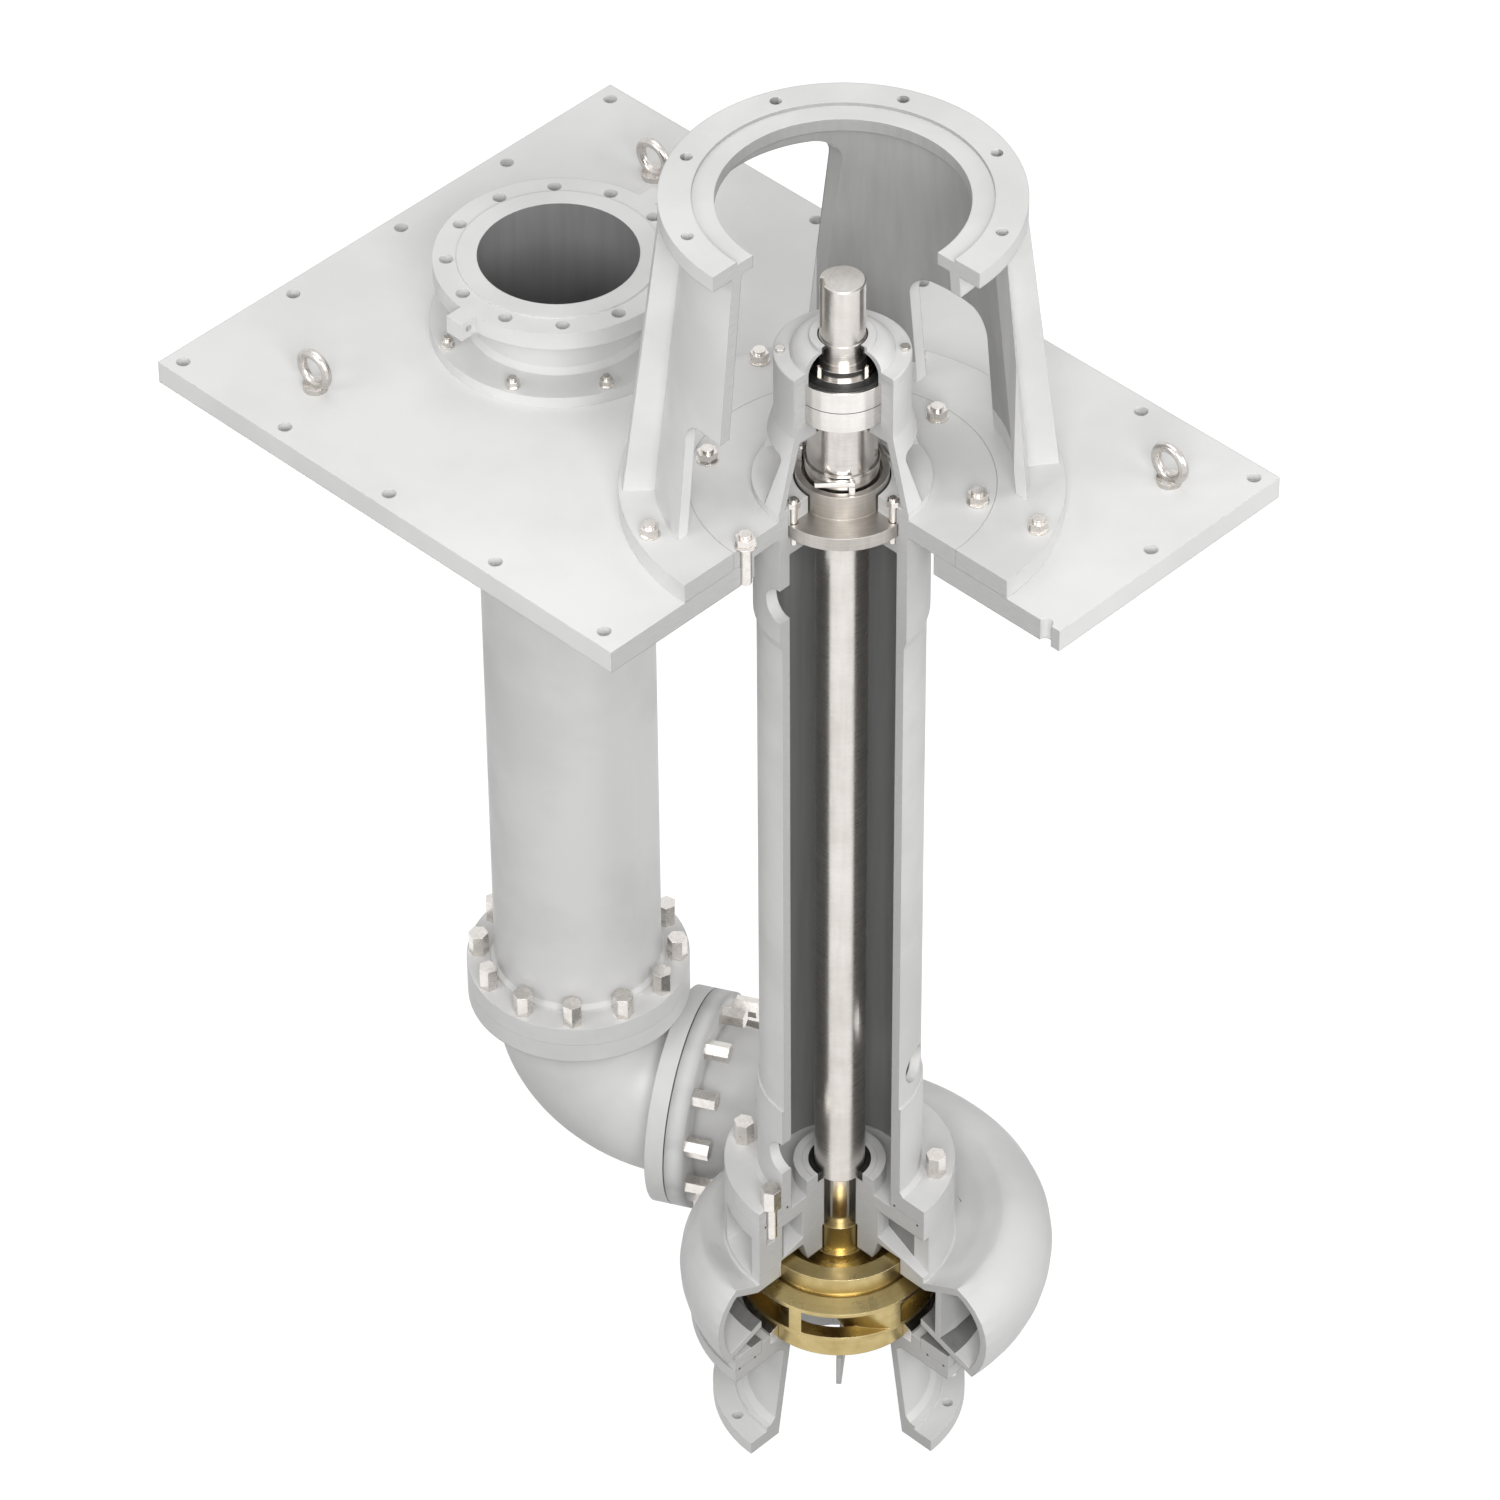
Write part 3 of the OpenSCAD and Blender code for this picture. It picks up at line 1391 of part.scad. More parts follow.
module cover_bolts() {
  color(steel)
    on_plate() kept_ring_of(cover_bolt_n, cover_bolt_pitch, cover_bolt_turn)
      translate([0, 0, suction_z - suction_top_t]) mirror([0, 0, 1])
        head_bolt(cover_bolt_r, cover_bolt_head_r, cover_bolt_head_h, suction_top_t + cover_bolt_deep);
}

module discharge_pipe() {
  foot_z = pipe_joint_z;
  flange_top = foot_z + pipe_flange_t;
  top = head_flange_z;
  under = head_flange_z - head_flange_t;
  color(paint)
    on_plate() at_pipe()
      difference() {
        union() {
          turned([[pipe_bore_r, foot_z], [pipe_flange_r, foot_z], [pipe_flange_r, flange_top],
            [pipe_r + pipe_collar, flange_top], [pipe_r + pipe_collar, flange_top + pipe_collar],
            [pipe_r, flange_top + 2 * pipe_collar], [pipe_r, 0], [sole_r, 0], [sole_r, sole_t],
            [pipe_r + weld_h, sole_t], [pipe_r, sole_t + weld_h], [pipe_r, under],
            [head_flange_r, under], [head_flange_r, top - raised_face_h],
            [raised_face_r, top - raised_face_h], [raised_face_r, top], [pipe_bore_r, top]]);
          for (s = [0, 1]) rotate(quarter + s * half_turn)
            difference() {
              translate([head_flange_r - lug_out, -lug_w / 2, under])
                cube([2 * lug_out, lug_w, head_flange_t - raised_face_h]);
              translate([head_flange_r + lug_out / 2, lug_w, under + head_flange_t / 2])
                rotate([quarter, 0, 0]) cylinder(r = lug_hole_r, h = 2 * lug_w);
            }
        }
        ring_of(head_flange_holes, head_flange_pitch, head_flange_turn)
          translate([0, 0, under - over]) cylinder(r = head_flange_hole_r, h = head_flange_t + 2 * over);
        ring_of(sole_bolt_n, sole_pitch_r, half_turn / sole_bolt_n)
          translate([0, 0, -over]) cylinder(r = small_bolt_r + bolt_gap, h = sole_t + 2 * over);
        ring_of(pipe_bolt_n, pipe_pitch_r, pipe_bolt_turn)
          translate([0, 0, foot_z - over])
            cylinder(r = flange_bolt_r + bolt_gap, h = pipe_flange_t + 2 * over);
      }
}

module sole_bolts() {
  color(steel)
    on_plate() at_pipe() ring_of(sole_bolt_n, sole_pitch_r, half_turn / sole_bolt_n)
      translate([0, 0, sole_t]) nut_set(small_bolt_r, small_nut_r, small_nut_h, sole_t + bolt_reach);
}

module elbow_bend(r) {
  bend_r = outlet_joint - side_flange_t;
  translate([bend_r, 0, outlet_z + bend_r]) rotate([quarter, 0, 0])
    rotate(half_turn) rotate_extrude(angle = quarter) translate([bend_r, 0, 0]) circle(r = r);
}

module elbow() {
  bend_r = outlet_joint - side_flange_t;
  bend_z = outlet_z + bend_r;
  color(paint)
    on_plate() at_pipe() rotate(outlet_angle)
      difference() {
        union() {
          elbow_bend(pipe_r);
          translate([0, 0, bend_z]) cylinder(r = pipe_r, h = pipe_joint_z - bend_z);
          translate([0, 0, pipe_joint_z - pipe_flange_t]) cylinder(r = pipe_flange_r, h = pipe_flange_t);
          translate([bend_r, 0, outlet_z]) rotate([0, quarter, 0])
            cylinder(r = pipe_flange_r, h = side_flange_t);
        }
        elbow_bend(pipe_bore_r);
        translate([0, 0, bend_z]) cylinder(r = pipe_bore_r, h = pipe_joint_z - bend_z + over);
        translate([bend_r, 0, outlet_z]) rotate([0, quarter, 0])
          cylinder(r = pipe_bore_r, h = side_flange_t + over);
        ring_of(pipe_bolt_n, pipe_pitch_r, pipe_bolt_turn - outlet_angle)
          translate([0, 0, pipe_joint_z - pipe_flange_t - over])
            cylinder(r = flange_bolt_r + bolt_gap, h = pipe_flange_t + 2 * over);
        translate([bend_r - over, 0, outlet_z]) rotate([0, quarter, 0])
          ring_of(pipe_bolt_n, pipe_pitch_r, half_turn / pipe_bolt_n)
            cylinder(r = flange_bolt_r + bolt_gap, h = side_flange_t + 2 * over);
      }
}

module elbow_top_bolts() {
  color(steel)
    on_plate() at_pipe() ring_of(pipe_bolt_n, pipe_pitch_r, pipe_bolt_turn)
      translate([0, 0, pipe_joint_z + pipe_flange_t])
        head_bolt(flange_bolt_r, flange_head_r, flange_head_h, 2 * pipe_flange_t);
}

module elbow_side_bolts() {
  color(steel)
    on_plate() at_outlet() translate([nozzle_len - side_flange_t, 0, 0]) rotate([0, -quarter, 0])
      ring_of(pipe_bolt_n, pipe_pitch_r, half_turn / pipe_bolt_n)
        head_bolt(flange_bolt_r, flange_head_r, flange_head_h, 2 * side_flange_t);
}

base_plate();
lifting_eyes();
motor_stand();
stand_bolts();
column_pipe();
head_bolts();
column_bolts();
bearing_bracket();
bearing_cover();
cover_screws();
cover_seal();
bearing_outer_rings();
bearing_inner_rings();
bearing_balls();
bearing_cages();
seal_gland();
seal_studs();
drive_collar();
collar_screws();
spacer_sleeve();
lock_nut();
lock_washer();
shaft();
guide_bush();
bush_retainer();
stem_seal();
stem_sleeve();
volute_casing();
wear_ring();
impeller();
impeller_nut();
suction_cover();
cover_bolts();
discharge_pipe();
sole_bolts();
elbow();
elbow_top_bolts();
elbow_side_bolts();
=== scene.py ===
"""A sectioned vertical sump pump: finishes, fine pieces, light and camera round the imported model."""

import logging
import math
from dataclasses import dataclass
from enum import Enum
from typing import Any

import bmesh
import bpy
from mathutils import Matrix, Vector


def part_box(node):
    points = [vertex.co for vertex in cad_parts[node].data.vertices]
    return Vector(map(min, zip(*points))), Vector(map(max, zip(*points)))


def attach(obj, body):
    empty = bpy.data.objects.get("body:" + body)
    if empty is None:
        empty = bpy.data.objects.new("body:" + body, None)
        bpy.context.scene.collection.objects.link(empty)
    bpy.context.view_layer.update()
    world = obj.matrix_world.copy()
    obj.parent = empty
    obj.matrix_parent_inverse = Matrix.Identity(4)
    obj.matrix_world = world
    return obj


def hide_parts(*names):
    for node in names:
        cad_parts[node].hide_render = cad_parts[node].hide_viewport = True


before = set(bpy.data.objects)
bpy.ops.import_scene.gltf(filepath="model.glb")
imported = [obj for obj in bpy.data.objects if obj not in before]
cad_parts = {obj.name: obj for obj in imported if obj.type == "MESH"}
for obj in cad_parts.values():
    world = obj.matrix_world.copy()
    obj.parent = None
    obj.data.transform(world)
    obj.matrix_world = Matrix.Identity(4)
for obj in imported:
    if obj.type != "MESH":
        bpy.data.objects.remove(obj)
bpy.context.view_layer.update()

# One millimetre in metres. The pieces below have their sizes in millimetres and turns in degrees, and the
# finishes and the studio have theirs in metres.
MM = 0.001
# The level where the two upper bearings meet, the outlet's turn, its joint and its pipe's axis, in
# millimetres and degrees.
BEARING_SEAM = 270.4
OUTLET_ANGLE = 27.1
OUTLET_JOINT = 206.0
PIPE_X = 611.0
LOG = logging.getLogger("sump_pump")

FULL_TURN = 360.0
KEPT_TURN = 270.0
# Degrees per step of a spin, for a whole ring and for a part of one.
FULL_STEP = 1.5
OPEN_STEP = 3.0
# Edges that turn by more degrees than this stay sharp.
SHARP = 35.0
# Loss of agreement between the rounded and the plain normal, from a face to an edge.
EDGE_WINDOW = (0.01, 0.22)
# Levels of a noise between which it is spread over its whole range.
SPREAD = (0.3, 0.7)
# Vertices that are nearer than this, in metres, are merged.
TOUCHING = 1e-7

ORIGIN = (0.0, 0.0, 0.0)
UPWARD = (0.0, 0.0, 1.0)
BLACK = (0.0, 0.0, 0.0, 1.0)
WHITE = (1.0, 1.0, 1.0, 1.0)

Triple = tuple[float, float, float]
Pair = tuple[float, float]
Profile = list[Pair]


class Body(Enum):
    """The moving bodies that a piece can ride on."""

    FRAME = "frame"
    ROTOR = "rotor"
    BALLS = "ball_set"


class Slot(Enum):
    """Material slots of the record."""

    PAINT = "casting_paint"
    FASTENER = "fastener_steel"
    BRIGHT = "bright_steel"
    BRASS = "brass"
    RUBBER = "black_rubber"


def linear(code: str) -> tuple[float, float, float, float]:
    """Turns a display colour into a linear one.

    Args:
        code: six hexadecimal digits, two each for red, green and blue.

    Returns:
        The linear red, green, blue and an alpha of 1.
    """
    knee, slope, lift, power = 0.04045, 12.92, 0.055, 2.4
    parts = [level / 255 for level in bytes.fromhex(code)]
    turned = [p / slope if p <= knee else ((p + lift) / (1 + lift)) ** power for p in parts]
    return (turned[0], turned[1], turned[2], 1.0)


class Field:
    """A number that varies over a surface, with the usual arithmetic."""

    def __init__(self, tree: "Nodes", socket: Any) -> None:
        """Wraps one output socket of a node tree."""
        self.tree = tree
        self.socket = socket

    def _maths(self, operation: str, first: Any, second: Any = None) -> "Field":
        """Adds one Math node.

        Args:
            operation: what the node does.
            first: field or number.
            second: field or number, where the operation takes two.

        Returns:
            The result as a field.
        """
        sockets = {i: v for i, v in enumerate((first, second)) if v is not None}
        node = self.tree.add("ShaderNodeMath", {"operation": operation}, sockets)
        return Field(self.tree, node.outputs[0])

    def __add__(self, other: Any) -> "Field":
        """Sum."""
        return self._maths("ADD", self, other)

    __radd__ = __add__

    def __sub__(self, other: Any) -> "Field":
        """Difference."""
        return self._maths("SUBTRACT", self, other)

    def __rsub__(self, other: Any) -> "Field":
        """Reflected difference."""
        return self._maths("SUBTRACT", other, self)

    def __mul__(self, other: Any) -> "Field":
        """Product."""
        return self._maths("MULTIPLY", self, other)

    __rmul__ = __mul__

    def __truediv__(self, other: Any) -> "Field":
        """Quotient."""
        return self._maths("DIVIDE", self, other)

    def __abs__(self) -> "Field":
        """Absolute value."""
        return self._maths("ABSOLUTE", self)

    def root(self) -> "Field":
        """Square root."""
        return self._maths("SQRT", self)

    def least(self, other: Any) -> "Field":
        """Smaller of two."""
        return self._maths("MINIMUM", self, other)

    def most(self, other: Any) -> "Field":
        """Larger of two."""
        return self._maths("MAXIMUM", self, other)

    def above(self, level: float) -> "Field":
        """1 where the field is over the level, else 0."""
        return self._maths("GREATER_THAN", self, level)

    def below(self, level: float) -> "Field":
        """1 where the field is under the level, else 0."""
        return self._maths("LESS_THAN", self, level)

    def step(self, low: float, high: float, start: float = 0.0, end: float = 1.0) -> "Field":
        """Steps smoothly between two values as the field rises.

        Args:
            low: level at which the step starts.
            high: level at which it ends.
            start: value below the step.
            end: value above it.

        Returns:
            The stepped field.
        """
        node = self.tree.add(
            "ShaderNodeMapRange",
            {"interpolation_type": "SMOOTHSTEP", "clamp": True},
            {"Value": self, "From Min": low, "From Max": high, "To Min": start, "To Max": end},
        )
        return Field(self.tree, node.outputs[0])


Axes = tuple[Field, Field, Field]


class Nodes:
    """A node tree, and the one way in which nodes are added to it."""

    def __init__(self, tree: bpy.types.NodeTree) -> None:
        """Takes over a node tree and empties it."""
        self.nodes = tree.nodes
        self.links = tree.links
        self.nodes.clear()

    def add(self, kind: str, settings: dict[str, Any] | None = None, sockets: Any = None) -> Any:
        """Adds one node.

        Args:
            kind: node type.
            settings: properties set before the sockets.
            sockets: values, fields or output sockets, by name or number.

        Returns:
            The node.
        """
        node = self.nodes.new(kind)
        for name, value in (settings or {}).items():
            setattr(node, name, value)
        for name, value in (sockets or {}).items():
            self.feed(node.inputs[name], value)
        return node

    def feed(self, socket: Any, value: Any) -> None:
        """Sets a socket to a value, or links a field or an output to it.

        Args:
            socket: the input socket.
            value: a value, a field or an output socket.
        """
        if isinstance(value, Field):
            self.links.new(value.socket, socket)
        elif isinstance(value, bpy.types.NodeSocket):
            self.links.new(value, socket)
        else:
            socket.default_value = value

    def looked_at(self) -> Field:
        """Tells rays that make the picture from rays that only carry light.

        Returns:
            1 for rays from the camera, in mirrors and through glass, and 0 for the rest.
        """
        path = self.add("ShaderNodeLightPath")
        camera = Field(self, path.outputs["Is Camera Ray"])
        glossy = Field(self, path.outputs["Is Glossy Ray"])
        through = Field(self, path.outputs["Is Transmission Ray"])
        return camera.most(glossy).most(through)


class Tree(Nodes):
    """A material and the nodes that make its finish."""

    def __init__(self, name: str) -> None:
        """Starts a material with one Principled shader."""
        self.material = bpy.data.materials.new(name)
        self.material.use_nodes = True
        super().__init__(self.material.node_tree)
        self.shader = self.add("ShaderNodeBsdfPrincipled")
        self.add("ShaderNodeOutputMaterial", None, {"Surface": self.shader.outputs[0]})
        self._place: Any = None

    def place(self) -> Any:
        """Gives the place on the surface, through one node for the whole material.

        Returns:
            Object coordinates, in metres from the pump's origin.
        """
        if self._place is None:
            self._place = self.add("ShaderNodeTexCoord").outputs["Object"]
        return self._place

    def axes(self, vector: Any = None) -> Axes:
        """The three coordinates of a vector, or of the place on the surface."""
        node = self.add("ShaderNodeSeparateXYZ", None, {0: self.place() if vector is None else vector})
        return tuple(Field(self, output) for output in node.outputs)

    def facing(self) -> Axes:
        """The three parts of the surface's own normal."""
        return self.axes(self.add("ShaderNodeNewGeometry").outputs["True Normal"])

    def vector(self, x: Any, y: Any, z: Any) -> Any:
        """A vector socket made of three numbers or fields."""
        return self.add("ShaderNodeCombineXYZ", None, {0: x, 1: y, 2: z}).outputs[0]

    def noise(self, scale: float, detail: float, rough: float, at: Any = None) -> Field:
        """Makes cloudy noise.

        Args:
            scale: waves per metre.
            detail: octaves.
            rough: strength of the finer octaves.
            at: vector to read instead of the place.

        Returns:
            A field round 0.5.
        """
        vector = self.place() if at is None else at
        node = self.add(
            "ShaderNodeTexNoise",
            {"noise_dimensions": "3D"},
            {"Vector": vector, "Scale": scale, "Detail": detail, "Roughness": rough},
        )
        return Field(self, node.outputs[0])

    def streaks(self, across: float, upward: float, detail: float, rough: float) -> Field:
        """Makes noise that is drawn out level or upright.

        Args:
            across: waves per metre in the level directions.
            upward: waves per metre along the pump's axis.
            detail: octaves.
            rough: strength of the finer octaves.

        Returns:
            A field round 0.5.
        """
        x, y, z = self.axes()
        return self.noise(1.0, detail, rough, self.vector(x * across, y * across, z * upward))

    def turned(self, rings: float, around: float, flat_from: float, rough: float) -> Field:
        """Makes noise in fine rings about the pump's axis, as a lathe leaves them.

        Args:
            rings: rings per metre, along the axis or outward on a flat face.
            around: waves per metre in the level directions.
            flat_from: upward part of the normal from which a face counts as flat.
            rough: strength of the finer octaves.

        Returns:
            A field round 0.5.
        """
        x, y, z = self.axes()
        flat = abs(self.facing()[2]).above(flat_from)
        along = z * (1 - flat) + (x * x + y * y).root() * flat
        return self.noise(1.0, 4.0, rough, self.vector(along * rings, x * around, y * around))

    def cells(self, scale: float) -> Field:
        """Distance to the nearest of scattered points, in cells."""
        node = self.add("ShaderNodeTexVoronoi", {"feature": "F1"}, {"Vector": self.place(), "Scale": scale})
        return Field(self, node.outputs["Distance"])

    def blend(self, factor: Any, first: Any, second: Any) -> Any:
        """Mixes two colours.

        Args:
            factor: share of the second.
            first: colour or output.
            second: colour or output.

        Returns:
            The mixed colour's output.
        """
        settings = {"data_type": "RGBA", "blend_type": "MIX", "clamp_factor": True}
        node = self.add("ShaderNodeMix", settings, {0: factor, 6: first, 7: second})
        return node.outputs[2]

    def rounded(self, radius: Any, samples: int = 4) -> Any:
        """Normal of the surface with its edges rounded."""
        return self.add("ShaderNodeBevel", {"samples": samples}, {"Radius": radius}).outputs[0]

    def edges(self, normal: Any) -> Field:
        """Finds where a rounded normal leaves the surface's own one.

        Args:
            normal: the rounded normal.

        Returns:
            1 along sharp edges and 0 on the faces.
        """
        plain = self.add("ShaderNodeNewGeometry").outputs["True Normal"]
        dot = self.add("ShaderNodeVectorMath", {"operation": "DOT_PRODUCT"}, {0: normal, 1: plain})
        return (1 - Field(self, dot.outputs["Value"])).step(*EDGE_WINDOW)

    def bump(self, height: Any, depth: float, normal: Any, strength: float) -> None:
        """Feeds a bump to the shader's normal.

        Args:
            height: field from 0 to 1.
            depth: what a height of 1 stands for, in metres.
            normal: the normal that the bump disturbs.
            strength: share of the bump that is used.
        """
        sockets = {"Height": height, "Distance": depth, "Normal": normal, "Strength": strength}
        self.feed(self.shader.inputs["Normal"], self.add("ShaderNodeBump", None, sockets).outputs[0])

    def surface(self, **sockets: Any) -> None:
        """Feeds the shader's sockets, with _ for a space in a name."""
        for name, value in sockets.items():
            self.feed(self.shader.inputs[name.replace("_", " ")], value)


@dataclass(frozen=True)
class CastingPaint:
    """Satin paint on cast iron: fine orange peel, faint clouding, sawn faces where the quadrant is cut.

    Lengths are in metres, waves are counted per metre, and facings are parts of the surface's normal. A
    window holds the levels of a noise between which it takes effect, and roughness_range says how far the
    roughness goes below and above its value. The colours for the inside of bores are painted shade, which
    darkens the walls of bores and the floor of a trough where shade falls.
    """

    name: str = "casting_paint_satin"
    paint: str = "dcdcdb"
    shade: str = "d2d2d1"
    shade_window: Pair = (0.35, 0.68)
    worn: str = "efeeec"
    wear: float = 0.55
    wear_window: Pair = (0.35, 0.7)
    roughness: float = 0.42
    roughness_range: Pair = (-0.05, 0.06)
    cut_duller: float = 0.12
    edge_shinier: float = 0.08
    gloss: float = 0.42
    bevel: float = 0.0022
    grain: float = 1.0
    grain_depth: float = 0.00022
    grain_strength: float = 0.6
    sand_share: float = 0.65
    saw_share: float = 0.4
    cloud_waves: float = 5.0
    peel_waves: float = 900.0
    sand_waves: float = 260.0
    cut: str = "c3c3c2"
    cut_grain: str = "b6b6b5"
    cut_slit: float = 0.0006
    cut_facing: float = 0.9
    saw_waves: Pair = (40.0, 900.0)
    seam: bool = False
    seam_half: float = 0.0011
    seam_paint: str = "4c4c4c"
    # Painted shade: two colours that darken the inside of bores, and the floor of a trough, where shade
    # falls, with the mask that finds them.
    bore_shade: str = ""
    bore_shade_streaked: str = ""
    bore_shade_facing: float = -0.4
    bore_shade_r: float = 0.0
    bore_shade_from: float = -9.0
    bore_shade_high: float = 9.0
    centre_x: float = 0.0
    streak_waves: Pair = (60.0, 3.0)
    streak_window: Pair = (0.25, 0.8)
    wall_facing: float = 0.15
    floor_facing: float = 0.3
    floor_below: float = 0.0
    floor_r: float = 0.212
    floor_taper: float = 0.2
    shoulder: float = 0.0
    shoulder_from: float = 0.0
    shoulder_fade: float = 0.01
    shoulder_clear: Pair = (0.002, 0.04)

    def shouldered(self, tree: Tree, place: Axes) -> Any:
        """Rounds the edges widely outside a radius, and narrowly inside it and near the cut faces.

        Args:
            tree: the material's nodes.
            place: the coordinates on the surface.

        Returns:
            The rounded normal.
        """
        x, y, _ = place
        reach = (x * x + y * y).root()
        from_left = abs(x) + y.above(0.0)
        from_right = abs(y) + x.below(0.0)
        clear = from_left.least(from_right).step(*self.shoulder_clear)
        wide = reach.step(self.shoulder_from, self.shoulder_from + self.shoulder_fade) * clear
        return tree.rounded(wide * (self.shoulder - self.bevel) + self.bevel, samples=6)

    def sawn(self, place: Axes, facing: Axes) -> Field:
        """Finds the two cut faces, which lie in planes through the pump's axis.

        Args:
            place: the coordinates on the surface.
            facing: the parts of its normal.

        Returns:
            1 on the cut faces and 0 elsewhere.
        """
        x, y, _ = place
        nx, ny, _ = facing
        left = abs(x).below(self.cut_slit) * nx.above(self.cut_facing) * y.below(0.0)
        right = abs(y).below(self.cut_slit) * (-1 * ny).above(self.cut_facing) * x.above(0.0)
        return left.most(right)

    def jointed(self, place: Axes) -> Field:
        """Finds the joint between the pump's nozzle and the elbow.

        Args:
            place: the coordinates on the surface.

        Returns:
            1 along the joint and 0 elsewhere.
        """
        x, y, _ = place
        turned = math.radians(OUTLET_ANGLE)
        joint = PIPE_X * math.cos(turned) - OUTLET_JOINT
        along = x * math.cos(turned) + y * math.sin(turned)
        return abs(along + joint * MM).below(self.seam_half)

    # Painted shade: finds the bore walls and trough floors that are darkened where shade falls.
    def shaded_inside(self, place: Axes, facing: Axes) -> Field:
        """Finds the inside of a bore, and with floor_below the floor of the trough round it.

        Args:
            place: the coordinates on the surface.
            facing: the parts of its normal.

        Returns:
            1 where painted shade goes and 0 elsewhere.
        """
        x, y, z = place
        nx, ny, nz = facing
        off = x - self.centre_x
        radius = (off * off + y * y).root()
        inward = ((off * nx + y * ny) / radius).below(self.bore_shade_facing)
        if self.floor_below:
            near = (radius - x.most(0.0) * self.floor_taper).below(self.floor_r)
            floor = nz.above(self.floor_facing) * z.below(self.floor_below) * near
            inward = (inward * nz.below(self.wall_facing)).most(floor)
        return radius.below(self.bore_shade_r) * inward * z.below(self.bore_shade_high) * x.above(self.bore_shade_from)

    def build(self) -> bpy.types.Material:
        """Makes the paint, with the cut faces, any joint line, any painted shade inside bores and any soft
        shoulder.

        Returns:
            The material.
        """
        tree = Tree(self.name)
        place = tree.axes()
        facing = tree.facing()
        clouds = tree.noise(self.cloud_waves, detail=4.0, rough=0.55)
        peel = tree.noise(self.peel_waves, detail=2.0, rough=0.4)
        sand = tree.noise(self.sand_waves, detail=4.0, rough=0.6)
        saw = tree.streaks(*self.saw_waves, detail=3.0, rough=0.6)
        normal = tree.rounded(self.bevel)
        edge = tree.edges(normal)
        if self.shoulder:
            normal = self.shouldered(tree, place)
        cut = self.sawn(place, facing)
        colour = tree.blend(clouds.step(*self.shade_window), linear(self.paint), linear(self.shade))
        colour = tree.blend(edge * sand.step(*self.wear_window) * self.wear, colour, linear(self.worn))
        cut_colour = tree.blend(saw.step(*SPREAD), linear(self.cut), linear(self.cut_grain))
        colour = tree.blend(cut, colour, cut_colour)
        if self.seam:
            colour = tree.blend(self.jointed(place), colour, linear(self.seam_paint))
        # Painted shade inside bores and on trough floors, streaked at random and kept off the cut faces.
        if self.bore_shade:
            streak = tree.streaks(*self.streak_waves, detail=4.0, rough=0.6)
            tone = streak.step(*self.streak_window)
            dark = tree.blend(tone, linear(self.bore_shade), linear(self.bore_shade_streaked))
            colour = tree.blend(self.shaded_inside(place, facing) * (1 - cut), colour, dark)
        rough = clouds.step(*SPREAD, *(self.roughness + part for part in self.roughness_range))
        rough = rough + cut * self.cut_duller - edge * self.edge_shinier
        tree.surface(Base_Color=colour, Roughness=rough, Specular_IOR_Level=self.gloss)
        height = peel * (1 - self.sand_share) + sand * self.sand_share
        height = height - cut * (sand * self.saw_share) + saw * cut * self.saw_share
        tree.bump(height, self.grain_depth * self.grain, normal, self.grain_strength)
        return tree.material


@dataclass(frozen=True)
class TurnedSteel:
    """Bright turned steel: fine rings from the tool, soft clouds of polish, pale edges."""

    name: str = "turned_steel"
    metal: str = "d9d5d1"
    shade: str = "b4afaa"
    tone_shares: Triple = (0.35, 0.4, 0.25)
    tone_window: Pair = (0.32, 0.7)
    rubbed: str = "f4f1ee"
    rubbed_share: float = 0.7
    roughness: float = 0.17
    roughness_range: Pair = (-0.05, 0.1)
    marks_window: Pair = (0.3, 0.75)
    haze: float = 0.05
    haze_window: Pair = (0.4, 0.8)
    bevel: float = 0.0012
    rings: float = 2400.0
    around: float = 4.0
    flat_from: float = 0.7
    groove: float = 0.00002
    groove_strength: float = 0.5
    cloud_waves: float = 14.0
    smear_waves: Pair = (90.0, 9.0)
    seams: tuple[float, ...] = ()
    seam_half: float = 0.0007
    seam_paint: str = "3a3836"

    def build(self) -> bpy.types.Material:
        """Makes the metal with its tool marks along the axis, or round it on a flat face.

        Returns:
            The material.
        """
        tree = Tree(self.name)
        marks = tree.turned(self.rings, self.around, self.flat_from, rough=0.65)
        clouds = tree.noise(self.cloud_waves, detail=4.0, rough=0.6)
        smear = tree.streaks(*self.smear_waves, detail=3.0, rough=0.5)
        normal = tree.rounded(self.bevel)
        edge = tree.edges(normal)
        of_marks, of_clouds, of_smear = self.tone_shares
        mixed = marks * of_marks + clouds * of_clouds + smear * of_smear
        colour = tree.blend(mixed.step(*self.tone_window), linear(self.metal), linear(self.shade))
        colour = tree.blend(edge * self.rubbed_share, colour, linear(self.rubbed))
        for level in self.seams:
            line = abs(tree.axes()[2] - level).below(self.seam_half)
            colour = tree.blend(line, colour, linear(self.seam_paint))
        rough = marks.step(*self.marks_window, *(self.roughness + part for part in self.roughness_range))
        rough = rough + clouds.step(*self.haze_window) * self.haze
        tree.surface(Base_Color=colour, Roughness=rough, Metallic=1.0)
        tree.bump(marks, self.groove, normal, self.groove_strength)
        return tree.material


